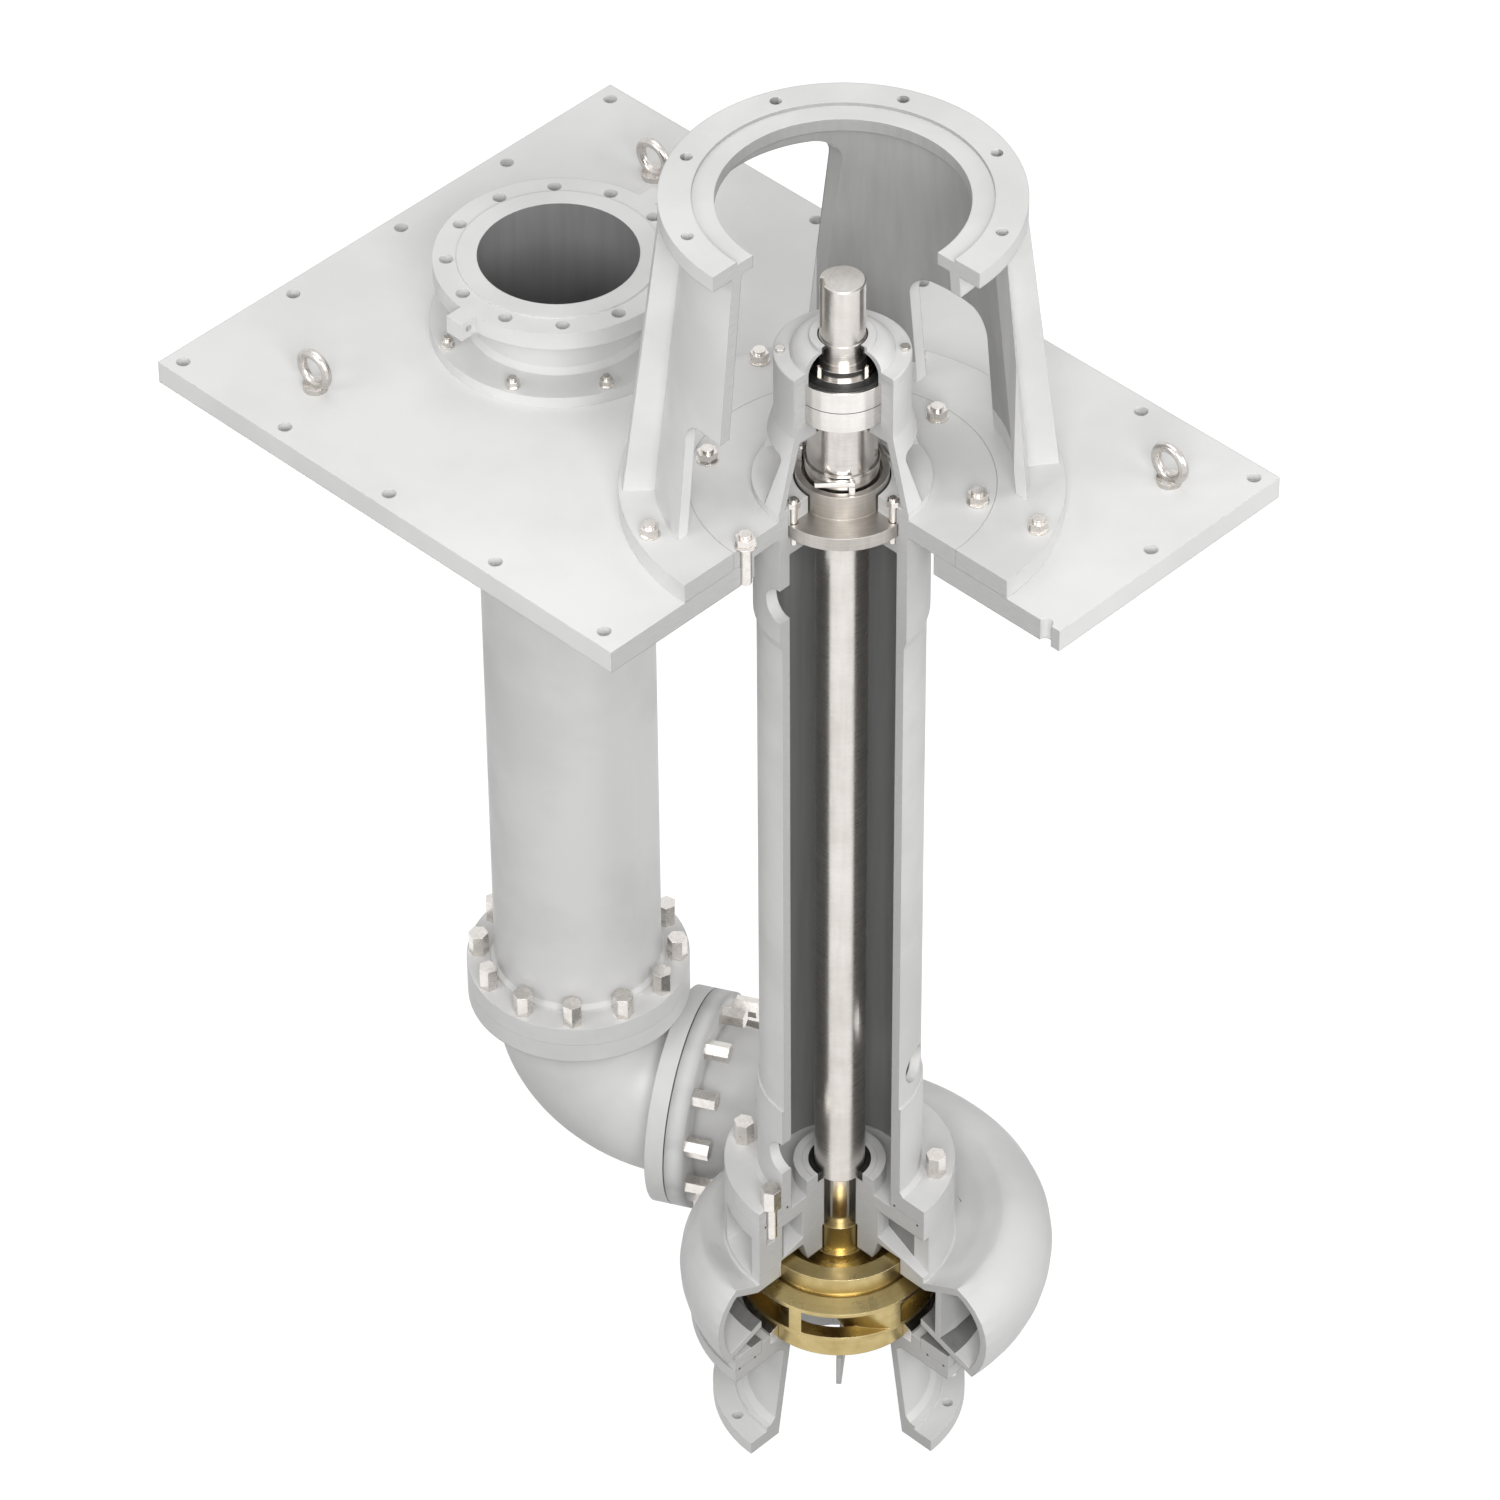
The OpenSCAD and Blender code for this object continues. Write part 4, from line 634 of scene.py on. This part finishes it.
@dataclass(frozen=True)
class FastenerSteel:
    """Warm stainless bolts: brushed flats, hammered clouding, bright rubbed corners."""

    name: str = "fastener_steel"
    metal: str = "e9e5e1"
    shade: str = "d6d1cb"
    brush_share: float = 0.5
    rubbed: str = "f2eeea"
    rubbed_share: float = 0.4
    roughness: float = 0.24
    roughness_range: Pair = (-0.04, 0.06)
    pit_duller: float = 0.05
    bevel: float = 0.0011
    groove: float = 0.00001
    groove_strength: float = 0.4
    brush_height: float = 0.6
    pit_height: float = 0.3
    brush_waves: Pair = (260.0, 2600.0)
    cloud_waves: float = 70.0
    pit_waves: float = 420.0
    pit_window: Pair = (0.05, 0.3)

    def build(self) -> bpy.types.Material:
        """Makes the metal.

        Returns:
            The material.
        """
        tree = Tree(self.name)
        brushed = tree.streaks(*self.brush_waves, detail=3.0, rough=0.5)
        clouds = tree.noise(self.cloud_waves, detail=4.0, rough=0.6)
        pits = tree.cells(self.pit_waves).step(*self.pit_window, start=1.0, end=0.0)
        normal = tree.rounded(self.bevel)
        edge = tree.edges(normal)
        mixed = brushed * self.brush_share + clouds * (1 - self.brush_share)
        colour = tree.blend(mixed.step(*SPREAD), linear(self.metal), linear(self.shade))
        colour = tree.blend(edge * self.rubbed_share, colour, linear(self.rubbed))
        rough = clouds.step(*SPREAD, *(self.roughness + part for part in self.roughness_range))
        rough = rough + pits * self.pit_duller
        tree.surface(Base_Color=colour, Roughness=rough, Metallic=1.0)
        height = brushed * self.brush_height - pits * self.pit_height
        tree.bump(height, self.groove, normal, self.groove_strength)
        return tree.material


@dataclass(frozen=True)
class CastBrass:
    """Machined brass: gold where it is turned, browner in scattered stains, bright on its edges."""

    name: str = "cast_brass"
    metal: str = "c6b482"
    shade: str = "b09c68"
    marks_share: float = 0.4
    tone_window: Pair = (0.34, 0.68)
    dark: str = "5f5233"
    dark_share: float = 0.25
    dark_window: Pair = (0.55, 0.8)
    rubbed: str = "efe3bd"
    rubbed_share: float = 0.45
    roughness: float = 0.3
    roughness_range: Pair = (-0.06, 0.1)
    bevel: float = 0.0016
    rings: float = 1500.0
    around: float = 5.0
    flat_from: float = 0.6
    groove: float = 0.00002
    groove_strength: float = 0.5
    cloud_waves: float = 22.0
    stain_waves: float = 9.0

    def build(self) -> bpy.types.Material:
        """Makes the metal.

        Returns:
            The material.
        """
        tree = Tree(self.name)
        marks = tree.turned(self.rings, self.around, self.flat_from, rough=0.6)
        clouds = tree.noise(self.cloud_waves, detail=5.0, rough=0.6)
        stain = tree.noise(self.stain_waves, detail=3.0, rough=0.5)
        normal = tree.rounded(self.bevel)
        edge = tree.edges(normal)
        mixed = marks * self.marks_share + clouds * (1 - self.marks_share)
        colour = tree.blend(mixed.step(*self.tone_window), linear(self.metal), linear(self.shade))
        colour = tree.blend(stain.step(*self.dark_window) * self.dark_share, colour, linear(self.dark))
        colour = tree.blend(edge * self.rubbed_share, colour, linear(self.rubbed))
        rough = clouds.step(*SPREAD, *(self.roughness + part for part in self.roughness_range))
        tree.surface(Base_Color=colour, Roughness=rough, Metallic=1.0)
        tree.bump((marks + clouds) / 2, self.groove, normal, self.groove_strength)
        return tree.material


@dataclass(frozen=True)
class BlackRubber:
    """Smooth black seal rubber with a soft sheen."""

    name: str = "black_rubber"
    base: str = "161616"
    shade: str = "2a2a2a"
    shade_window: Pair = (0.35, 0.7)
    rubbed: str = "4a4a4a"
    rubbed_share: float = 0.4
    roughness: Pair = (0.38, 0.52)
    bevel: float = 0.0012
    grain_depth: float = 0.00003
    grain_strength: float = 0.5
    grain_waves: float = 1400.0
    cloud_waves: float = 60.0

    def build(self) -> bpy.types.Material:
        """Makes the rubber.

        Returns:
            The material.
        """
        tree = Tree(self.name)
        clouds = tree.noise(self.cloud_waves, detail=4.0, rough=0.6)
        grain = tree.noise(self.grain_waves, detail=2.0, rough=0.5)
        normal = tree.rounded(self.bevel)
        edge = tree.edges(normal)
        colour = tree.blend(clouds.step(*self.shade_window), linear(self.base), linear(self.shade))
        colour = tree.blend(edge * self.rubbed_share, colour, linear(self.rubbed))
        tree.surface(Base_Color=colour, Roughness=clouds.step(*SPREAD, *self.roughness))
        tree.bump(grain, self.grain_depth, normal, self.grain_strength)
        return tree.material


@dataclass(frozen=True)
class StudioFloor:
    """White floor that stays white to the camera and keeps a faint shadow."""

    name: str = "studio_floor"
    base: str = "8a8a8a"
    shade: str = "8e8e8e"
    grain_waves: float = 3.0
    roughness: float = 0.9
    glow: float = 0.92

    def build(self) -> bpy.types.Material:
        """Makes the floor's paint.

        Returns:
            The material.
        """
        tree = Tree(self.name)
        grain = tree.noise(self.grain_waves, detail=3.0, rough=0.5)
        colour = tree.blend(grain, linear(self.base), linear(self.shade))
        shine = tree.blend(tree.looked_at(), BLACK, WHITE)
        tree.surface(Base_Color=colour, Roughness=self.roughness, Specular_IOR_Level=0.0)
        tree.surface(Emission_Color=shine, Emission_Strength=self.glow)
        return tree.material


Finish = CastingPaint | TurnedSteel | FastenerSteel | CastBrass | BlackRubber


@dataclass
class Dressing:
    """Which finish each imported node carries."""

    broad_bevel: float = 0.003
    coarse: float = 1.2
    smooth: float = 0.8

    @staticmethod
    def cover() -> CastingPaint:
        """Paint of the bearing cover, with black painted shade inside."""
        return CastingPaint(
            name="cover_paint", bore_shade="161616", bore_shade_streaked="202020", bore_shade_r=0.0785, bore_shade_facing=-0.1
        )

    def castings(self) -> list[tuple[Finish, tuple[str, ...]]]:
        """Lists the painted castings, with the painted shade inside their bores and on the volute's cavity
        floors.

        Returns:
            Finishes, each with the nodes that carry it.
        """
        plate = CastingPaint(
            name="plate_paint", paint="e3e3e2", shade="dddddc", bevel=self.broad_bevel, grain=self.smooth
        )
        column = CastingPaint(
            name="column_paint", bore_shade="9c9c9c", bore_shade_streaked="909090", bore_shade_r=0.1365, roughness=0.44
        )
        bracket = CastingPaint(
            name="bracket_paint", bore_shade="7d7d7c", bore_shade_streaked="727271", bore_shade_r=0.105, bore_shade_high=0.42
        )
        pipe = CastingPaint(
            name="pipe_paint",
            bore_shade="8f8f8f",
            bore_shade_streaked="868686",
            bore_shade_r=0.1285,
            centre_x=-PIPE_X * MM,
            roughness=0.4,
            grain=self.smooth,
        )
        stand = CastingPaint(
            name="stand_paint",
            bore_shade="a9a9a8",
            bore_shade_streaked="a0a09f",
            bore_shade_r=0.262,
            bore_shade_facing=-0.6,
            bevel=self.broad_bevel,
            grain=self.coarse,
        )
        casing = CastingPaint(
            name="volute_paint",
            bore_shade="848483",
            bore_shade_streaked="767675",
            bore_shade_r=0.31,
            bore_shade_facing=-0.3,
            bore_shade_high=-1.43,
            bore_shade_from=-0.15,
            floor_below=-1.6,
            seam=True,
            shoulder=0.035,
            shoulder_from=0.212,
            bevel=self.broad_bevel,
            grain=self.coarse,
        )
        bend = CastingPaint(name="bend_paint", seam=True, bevel=self.broad_bevel, grain=self.coarse)
        return [
            (plate, ("base_plate",)),
            (column, ("column_pipe",)),
            (bracket, ("bearing_bracket",)),
            (self.cover(), ("bearing_cover",)),
            (pipe, ("discharge_pipe",)),
            (stand, ("motor_stand",)),
            (casing, ("volute_casing",)),
            (bend, ("suction_cover", "elbow")),
            (CastingPaint(), ("bush_retainer",)),
        ]

    def metals(self) -> list[tuple[Finish, tuple[str, ...]]]:
        """Lists the bare metal parts.

        Returns:
            Finishes, each with the nodes that carry it.
        """
        eyes = FastenerSteel(name="eye_steel", metal="dedad6", shade="b9b4af", roughness=0.24)
        races = TurnedSteel(
            name="bearing_steel", metal="ebe8e5", shade="d4d0cc", roughness=0.2, seams=(BEARING_SEAM * MM,)
        )
        shaft = TurnedSteel(name="shaft_steel", metal="dedad6", shade="c6c1bb", roughness=0.27, rings=1800.0)
        gland = TurnedSteel(name="gland_steel", metal="c4c0bb", shade="aaa59f", roughness=0.4, rings=1500.0)
        turned = (
            "drive_collar",
            "spacer_sleeve",
            "lock_nut",
            "lock_washer",
            "stem_sleeve",
            "wear_ring",
        )
        fasteners = (
            "stand_bolts",
            "head_bolts",
            "column_bolts",
            "cover_screws",
            "seal_studs",
            "collar_screws",
            "cover_bolts",
            "sole_bolts",
            "elbow_top_bolts",
            "elbow_side_bolts",
        )
        return [
            (eyes, ("lifting_eyes",)),
            (races, ("bearing_outer_rings", "bearing_inner_rings", "bearing_balls")),
            (shaft, ("shaft",)),
            (gland, ("seal_gland",)),
            (TurnedSteel(), turned),
            (FastenerSteel(), fasteners),
            (CastBrass(), ("bearing_cages", "impeller", "impeller_nut")),
        ]

    def apply(self) -> None:
        """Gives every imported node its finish."""
        seals = (BlackRubber(), ("cover_seal", "guide_bush", "stem_seal"))
        for finish, nodes in [*self.castings(), *self.metals(), seals]:
            material = finish.build()
            for name in nodes:
                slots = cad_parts[name].data.materials
                slots.clear()
                slots.append(material)
                LOG.info("node %s: %s", name, finish.name)


class Maker:
    """Small bmesh workshop: rings, bars and prisms, finished and put on a body."""

    @staticmethod
    def ring(profile: Profile, sweep: float = FULL_TURN, start: float = 0.0) -> bmesh.types.BMesh:
        """Spins a closed profile about the pump axis.

        Args:
            profile: corners as radius and height, in millimetres.
            sweep: degrees turned.
            start: azimuth of the first section.

        Returns:
            The solid, with end faces where it isn't a full turn.
        """
        mesh = bmesh.new()
        corners = [mesh.verts.new((r * MM, 0.0, z * MM)) for r, z in profile]
        face = mesh.faces.new(corners)
        Maker.set_down(mesh, ORIGIN, start)
        full = sweep == FULL_TURN
        edges = list(face.edges)
        if full:
            bmesh.ops.delete(mesh, geom=[face], context="FACES_ONLY")
        else:
            bmesh.ops.duplicate(mesh, geom=[face])
        bmesh.ops.spin(
            mesh,
            geom=edges,
            cent=ORIGIN,
            axis=UPWARD,
            angle=math.radians(sweep),
            steps=round(sweep / (FULL_STEP if full else OPEN_STEP)),
            use_merge=full,
        )
        if not full:
            bmesh.ops.remove_doubles(mesh, verts=mesh.verts, dist=TOUCHING)
            rim = [edge for edge in mesh.edges if edge.is_boundary]
            bmesh.ops.contextual_create(mesh, geom=rim)
        return mesh

    @staticmethod
    def bar(size: Triple, bevel: float) -> bmesh.types.BMesh:
        """Makes a block with bevelled edges, centred on the origin.

        Args:
            size: its three sides, in millimetres.
            bevel: width of the bevel.

        Returns:
            The block.
        """
        mesh = bmesh.new()
        bmesh.ops.create_cube(mesh, size=1.0)
        bmesh.ops.scale(mesh, verts=mesh.verts, vec=[side * MM for side in size])
        Maker.soften(mesh, list(mesh.edges), bevel)
        return mesh

    @staticmethod
    def stud(radius: float, height: float, sides: int, bevel: float) -> bmesh.types.BMesh:
        """Makes a prism that stands on the origin, with its top edges bevelled.

        Args:
            radius: from the axis to a corner, in millimetres.
            height: height of the prism.
            sides: number of sides.
            bevel: width of the bevel.

        Returns:
            The prism.
        """
        mesh = bmesh.new()
        bmesh.ops.create_cone(
            mesh, cap_ends=True, segments=sides, radius1=radius * MM, radius2=radius * MM, depth=height * MM
        )
        top = [edge for edge in mesh.edges if all(corner.co.z > 0 for corner in edge.verts)]
        bmesh.ops.translate(mesh, verts=mesh.verts, vec=(0, 0, height * MM / 2))
        Maker.soften(mesh, top, bevel)
        return mesh

    @staticmethod
    def soften(mesh: bmesh.types.BMesh, edges: list[bmesh.types.BMEdge], width: float) -> None:
        """Bevels edges with a round of two segments, width in millimetres."""
        bmesh.ops.bevel(
            mesh, geom=edges, offset=width * MM, affect="EDGES", segments=2, profile=0.5, material=-1
        )

    @staticmethod
    def set_down(mesh: bmesh.types.BMesh, at: Triple, turn: float = 0.0) -> bmesh.types.BMesh:
        """Turns a mesh about +Z, then moves it.

        Args:
            mesh: the mesh, changed in place.
            at: the move, in millimetres.
            turn: the turn, in degrees.

        Returns:
            The same mesh.
        """
        about = Matrix.Rotation(math.radians(turn), 3, "Z")
        bmesh.ops.rotate(mesh, verts=mesh.verts, cent=ORIGIN, matrix=about)
        bmesh.ops.translate(mesh, verts=mesh.verts, vec=[part * MM for part in at])
        return mesh

    @staticmethod
    def join(meshes: list[bmesh.types.BMesh]) -> bmesh.types.BMesh:
        """Puts several meshes into one.

        Args:
            meshes: the meshes, freed here.

        Returns:
            The whole.
        """
        whole = bmesh.new()
        for mesh in meshes:
            data = bpy.data.meshes.new("part")
            mesh.to_mesh(data)
            mesh.free()
            whole.from_mesh(data)
            bpy.data.meshes.remove(data)
        return whole

    @staticmethod
    def finish(
        name: str, mesh: bmesh.types.BMesh, body: Body, slot: Slot, material: bpy.types.Material
    ) -> bpy.types.Object:
        """Turns a bmesh into a dressed piece on a body.

        Args:
            name: name of the piece.
            mesh: its shape in the pump's frame.
            body: what it rides on.
            slot: not used.
            material: the finish.

        Returns:
            The piece.
        """
        bmesh.ops.recalc_face_normals(mesh, faces=mesh.faces)
        for face in mesh.faces:
            face.smooth = True
        for edge in mesh.edges:
            if len(edge.link_faces) == 2 and edge.calc_face_angle(0.0) > math.radians(SHARP):
                edge.smooth = False
        data = bpy.data.meshes.new(name)
        mesh.to_mesh(data)
        mesh.free()
        data.materials.append(material)
        piece = bpy.data.objects.new(name, data)
        bpy.context.scene.collection.objects.link(piece)
        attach(piece, body.value)
        LOG.info("piece %s rides on %s", name, body.value)
        return piece


def top_of(node: str) -> float:
    """Height of a node's top in millimetres."""
    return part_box(node)[1][2] / MM


def foot_of(node: str) -> float:
    """Height of a node's underside in millimetres."""
    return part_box(node)[0][2] / MM


@dataclass
class BearingShadeShield:
    """Thin black shield over the upper bearing, between its inner and outer ring, black as painted shade of
    the gap.
    """

    inner_r: float = 50.6
    lip_r: float = 53.0
    bowl_r: float = 66.0
    seat_r: float = 67.0
    rim_r: float = 67.5
    outer_r: float = 73.2
    below: float = 1.2
    seat_gap: float = 0.3
    bowl: float = 1.6
    rim: float = 3.0

    def build(self) -> None:
        """Makes the shield, black as painted shade over the bearing's gap."""
        top = top_of("bearing_outer_rings")
        profile = [
            (self.inner_r, top - self.below),
            (self.seat_r, top - self.below),
            (self.seat_r, top + self.seat_gap),
            (self.outer_r, top + self.seat_gap),
            (self.outer_r, top + self.rim),
            (self.rim_r, top + self.rim),
            (self.bowl_r, top + self.bowl),
            (self.lip_r, top + self.bowl),
            (self.inner_r, top),
        ]
        rubber = BlackRubber("shade_shield_rubber").build()
        Maker.finish("bearing_shade_shield", Maker.ring(profile), Body.FRAME, Slot.RUBBER, rubber)


@dataclass
class BearingCover:
    """Domed cover over the upper bearing, with black painted shade inside, and a boss whose lip hides the
    seal.
    """

    skirt_r: float = 79.9
    skirt_in: float = 74.0
    skirt_gap: float = 0.1
    flange_r: float = 105.0
    flange_t: float = 12.0
    flange_round: float = 1.5
    housing_lip: float = 10.6
    foot_r: float = 81.5
    dome_r: float = 80.0
    dome_rise: float = 24.0
    shelf: float = 4.0
    hollow_r: float = 46.0
    hollow_start: float = 13.0
    hollow_over: float = 3.5
    boss_r: float = 51.0
    boss_lip: float = 2.4
    boss_round: float = 1.0
    bore_r: float = 37.4
    seal_r: float = 45.1
    steps: int = 8

    def curve(self, start: Pair, end: Pair) -> Profile:
        """Quarter ellipse that leaves the start upright and reaches the end level.

        Args:
            start: radius and height of the upright end.
            end: radius and height of the level end.

        Returns:
            The points of the curve.
        """
        turns = [math.pi / 2 * k / self.steps for k in range(self.steps + 1)]
        wide, tall = start[0] - end[0], end[1] - start[1]
        return [(end[0] + wide * math.cos(t), start[1] + tall * math.sin(t)) for t in turns]

    def build(self, paint: CastingPaint) -> None:
        """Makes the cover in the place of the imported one.

        Args:
            paint: its finish.
        """
        low = top_of("bearing_outer_rings")
        seal_top = top_of("cover_seal") + self.skirt_gap
        seat = low + self.housing_lip
        face = seat + self.flange_t
        crest = face + self.dome_rise
        hollow = foot_of("cover_seal") + self.hollow_over
        top = top_of("cover_seal") + self.boss_lip
        outside = self.curve((self.dome_r, face), (self.boss_r + self.shelf, crest))
        inside = self.curve((self.skirt_in, low + self.hollow_start), (self.hollow_r, hollow))
        profile = [
            (self.skirt_in, low + self.skirt_gap),
            (self.skirt_r, low + self.skirt_gap),
            (self.skirt_r, seat),
            (self.flange_r, seat),
            (self.flange_r, face - self.flange_round),
            (self.flange_r - self.flange_round, face),
            (self.foot_r, face),
            *outside,
            (self.boss_r, crest),
            (self.boss_r, top - self.boss_round),
            (self.boss_r - self.boss_round, top),
            (self.bore_r + self.boss_round, top),
            (self.bore_r, top - self.boss_round),
            (self.bore_r, seal_top),
            (self.seal_r, seal_top),
            (self.seal_r, hollow),
            *reversed(inside),
        ]
        ring = Maker.ring(profile, KEPT_TURN)
        piece = Maker.finish("domed_cover", ring, Body.FRAME, Slot.PAINT, paint.build())
        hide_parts("bearing_cover")


@dataclass
class SealClips:
    """Three setting bars round the drive collar, each on a small block with a screw on the gland."""

    radius: float = 64.0
    aside: float = -12.0
    length: float = 62.0
    width: float = 8.0
    height: float = 9.0
    raised: float = 16.0
    block: Triple = (7.0, 10.0, 17.0)
    screw_r: float = 4.0
    screw_h: float = 3.5
    screw_sides: int = 6
    bevel: float = 1.0
    seat_gap: float = 0.2
    turn: float = -45.6
    count: int = 3

    def clip(self) -> bmesh.types.BMesh:
        """Makes one bar with its block and screw, set out along +X with its seat at the origin's level.

        Returns:
            The three as one mesh.
        """
        along = self.length / 2 - self.block[1] / 2
        bar = Maker.bar((self.width, self.length, self.height), self.bevel)
        foot = Maker.bar(self.block, self.bevel)
        screw = Maker.stud(self.screw_r, self.screw_h, self.screw_sides, self.bevel / 2)
        middle = self.raised + self.height / 2
        Maker.set_down(bar, (0, 0, middle))
        Maker.set_down(foot, (0, along, self.block[2] / 2))
        Maker.set_down(screw, (0, along, middle + self.height / 2))
        return Maker.set_down(Maker.join([bar, foot, screw]), (self.radius, self.aside, 0))

    def build(self) -> None:
        """Makes the bars, blocks and screws as one piece."""
        seat = (0, 0, top_of("seal_gland") + self.seat_gap)
        turns = [self.turn + FULL_TURN / self.count * k for k in range(self.count)]
        clips = [Maker.set_down(self.clip(), seat, turn) for turn in turns]
        finish = TurnedSteel(name="clip_steel", metal="ece9e6", shade="d8d4d0", roughness=0.24)
        Maker.finish("seal_clips", Maker.join(clips), Body.FRAME, Slot.BRIGHT, finish.build())


@dataclass
class InletVane:
    """Thin web that carries the bell's rib inward to the axis, so that the inflow doesn't swirl."""

    thick: float = 9.0
    inner: float = -3.0
    outer: float = 96.0
    foot: float = 10.0
    tall: float = 92.0
    slope: float = 30.0
    turn: float = 128.0
    bevel: float = 1.5

    def build(self, paint: CastingPaint) -> None:
        """Makes the web.

        Args:
            paint: its finish.
        """
        low = foot_of("suction_cover") + self.foot
        mesh = bmesh.new()
        corners = [
            (self.inner, low),
            (self.outer, low),
            (self.outer, low + self.tall),
            (self.inner, low + self.tall - self.slope),
        ]
        face = mesh.faces.new([mesh.verts.new((r * MM, -self.thick / 2 * MM, z * MM)) for r, z in corners])
        made = bmesh.ops.extrude_face_region(mesh, geom=[face])["geom"]
        moved = [item for item in made if isinstance(item, bmesh.types.BMVert)]
        bmesh.ops.translate(mesh, verts=moved, vec=(0, self.thick * MM, 0))
        Maker.soften(mesh, list(mesh.edges), self.bevel)
        Maker.set_down(mesh, ORIGIN, self.turn)
        Maker.finish("inlet_vane", mesh, Body.FRAME, Slot.PAINT, paint.build())


@dataclass
class JointRings:
    """Round seal rings in the joints of the casings, seen as dots on the cut faces.

    Each of the rings is given by its radius and its level.
    """

    rings: tuple[Pair, ...] = (
        (124.5, -1406.0),
        (176.5, -1416.0),
        (203.5, -1703.5),
        (240.0, -1703.5),
    )
    thick: float = 2.4
    proud: float = 0.12
    sides: int = 10

    def build(self) -> None:
        """Makes the rings over the three kept quadrants."""
        turns = [math.tau * k / self.sides for k in range(self.sides)]
        parts = []
        for radius, level in self.rings:
            past = math.degrees(self.proud / radius)
            section = [(radius + self.thick * math.cos(t), level + self.thick * math.sin(t)) for t in turns]
            parts.append(Maker.ring(section, KEPT_TURN + 2 * past, -past))
        rubber = BlackRubber("ring_rubber").build()
        Maker.finish("joint_rings", Maker.join(parts), Body.FRAME, Slot.RUBBER, rubber)


@dataclass(frozen=True)
class Lamp:
    """A soft square lamp. Places and its side are in metres, and its power is in watts."""

    name: str
    at: Triple
    aim: Triple
    size: float
    power: float

    def hang(self) -> None:
        """Adds the lamp to the scene, turned to its aim."""
        data = bpy.data.lights.new(self.name, "AREA")
        data.shape = "SQUARE"
        data.size = self.size
        data.energy = self.power
        hung = bpy.data.objects.new(self.name, data)
        bpy.context.scene.collection.objects.link(hung)
        way = Vector(self.aim) - Vector(self.at)
        turned = way.to_track_quat("-Z", "Y").to_matrix().to_4x4()
        hung.matrix_world = Matrix.Translation(self.at) @ turned


@dataclass
class Studio:
    """Floor, soft lamps, white world and the camera at the photograph's view."""

    eye: Triple = (6.0886, -6.4130, 7.4230)
    right: Triple = (0.71728, 0.69677, -0.00535)
    up: Triple = (-0.46133, 0.48064, 0.74576)
    back: Triple = (0.5222, -0.53245, 0.66619)
    focal_mm: float = 180.8
    film_mm: float = 36.0
    far: float = 200.0
    floor_z: float = -2.02
    floor_half: float = 40.0
    sky: float = 0.34
    lamps: tuple[Lamp, ...] = (
        Lamp("key", at=(5.4, -4.6, 4.4), aim=(-0.2, 0.0, -0.8), size=4.5, power=500.0),
        Lamp("side", at=(6.0, 2.5, 2.0), aim=(-0.1, 0.0, -1.0), size=4.0, power=130.0),
        Lamp("top", at=(-1.5, 0.5, 6.0), aim=(-0.3, 0.0, 0.0), size=5.0, power=110.0),
        Lamp("front", at=(-1.6, -6.5, 3.6), aim=(-0.3, 0.0, -0.6), size=3.5, power=120.0),
    )

    def camera(self) -> None:
        """Places the camera."""
        data = bpy.data.cameras.new("view")
        data.lens = self.focal_mm
        data.sensor_fit = "HORIZONTAL"
        data.sensor_width = self.film_mm
        data.sensor_height = self.film_mm
        data.clip_end = self.far
        seat = bpy.data.objects.new("view", data)
        bpy.context.scene.collection.objects.link(seat)
        turned = Matrix((self.right, self.up, self.back)).transposed().to_4x4()
        seat.matrix_world = Matrix.Translation(self.eye) @ turned
        bpy.context.scene.camera = seat

    def world(self) -> None:
        """Sets a world that looks white, and that lights as a plain soft grey."""
        world = bpy.data.worlds.new("studio")
        world.use_nodes = True
        bpy.context.scene.world = world
        sky = Nodes(world.node_tree)
        seen = sky.add("ShaderNodeBackground", None, {"Color": WHITE}).outputs[0]
        light = sky.add("ShaderNodeBackground", None, {"Color": WHITE, "Strength": self.sky}).outputs[0]
        both = sky.add("ShaderNodeMixShader", None, {0: sky.looked_at(), 1: light, 2: seen})
        sky.add("ShaderNodeOutputWorld", None, {"Surface": both.outputs[0]})

    def floor(self) -> None:
        """Lays the floor under the pump."""
        mesh = bmesh.new()
        bmesh.ops.create_grid(mesh, x_segments=1, y_segments=1, size=self.floor_half)
        bmesh.ops.translate(mesh, verts=mesh.verts, vec=(0, 0, self.floor_z))
        data = bpy.data.meshes.new("floor")
        mesh.to_mesh(data)
        mesh.free()
        slab = bpy.data.objects.new("floor", data)
        data.materials.append(StudioFloor().build())
        bpy.context.scene.collection.objects.link(slab)

    def set_up(self) -> None:
        """Sets the view, the world, the floor and the lamps."""
        bpy.context.scene.view_settings.view_transform = "Standard"
        self.camera()
        self.world()
        self.floor()
        for lamp in self.lamps:
            lamp.hang()


def main() -> None:
    """Builds the pump's looks in order."""
    logging.basicConfig(level=logging.INFO, format="%(name)s %(message)s")
    Studio().set_up()
    Dressing().apply()
    BearingShadeShield().build()
    BearingCover().build(Dressing.cover())
    InletVane().build(CastingPaint(name="vane_paint", paint="cfcfce", shade="c6c6c5"))
    SealClips().build()
    JointRings().build()


if __name__ == "__main__":
    main()
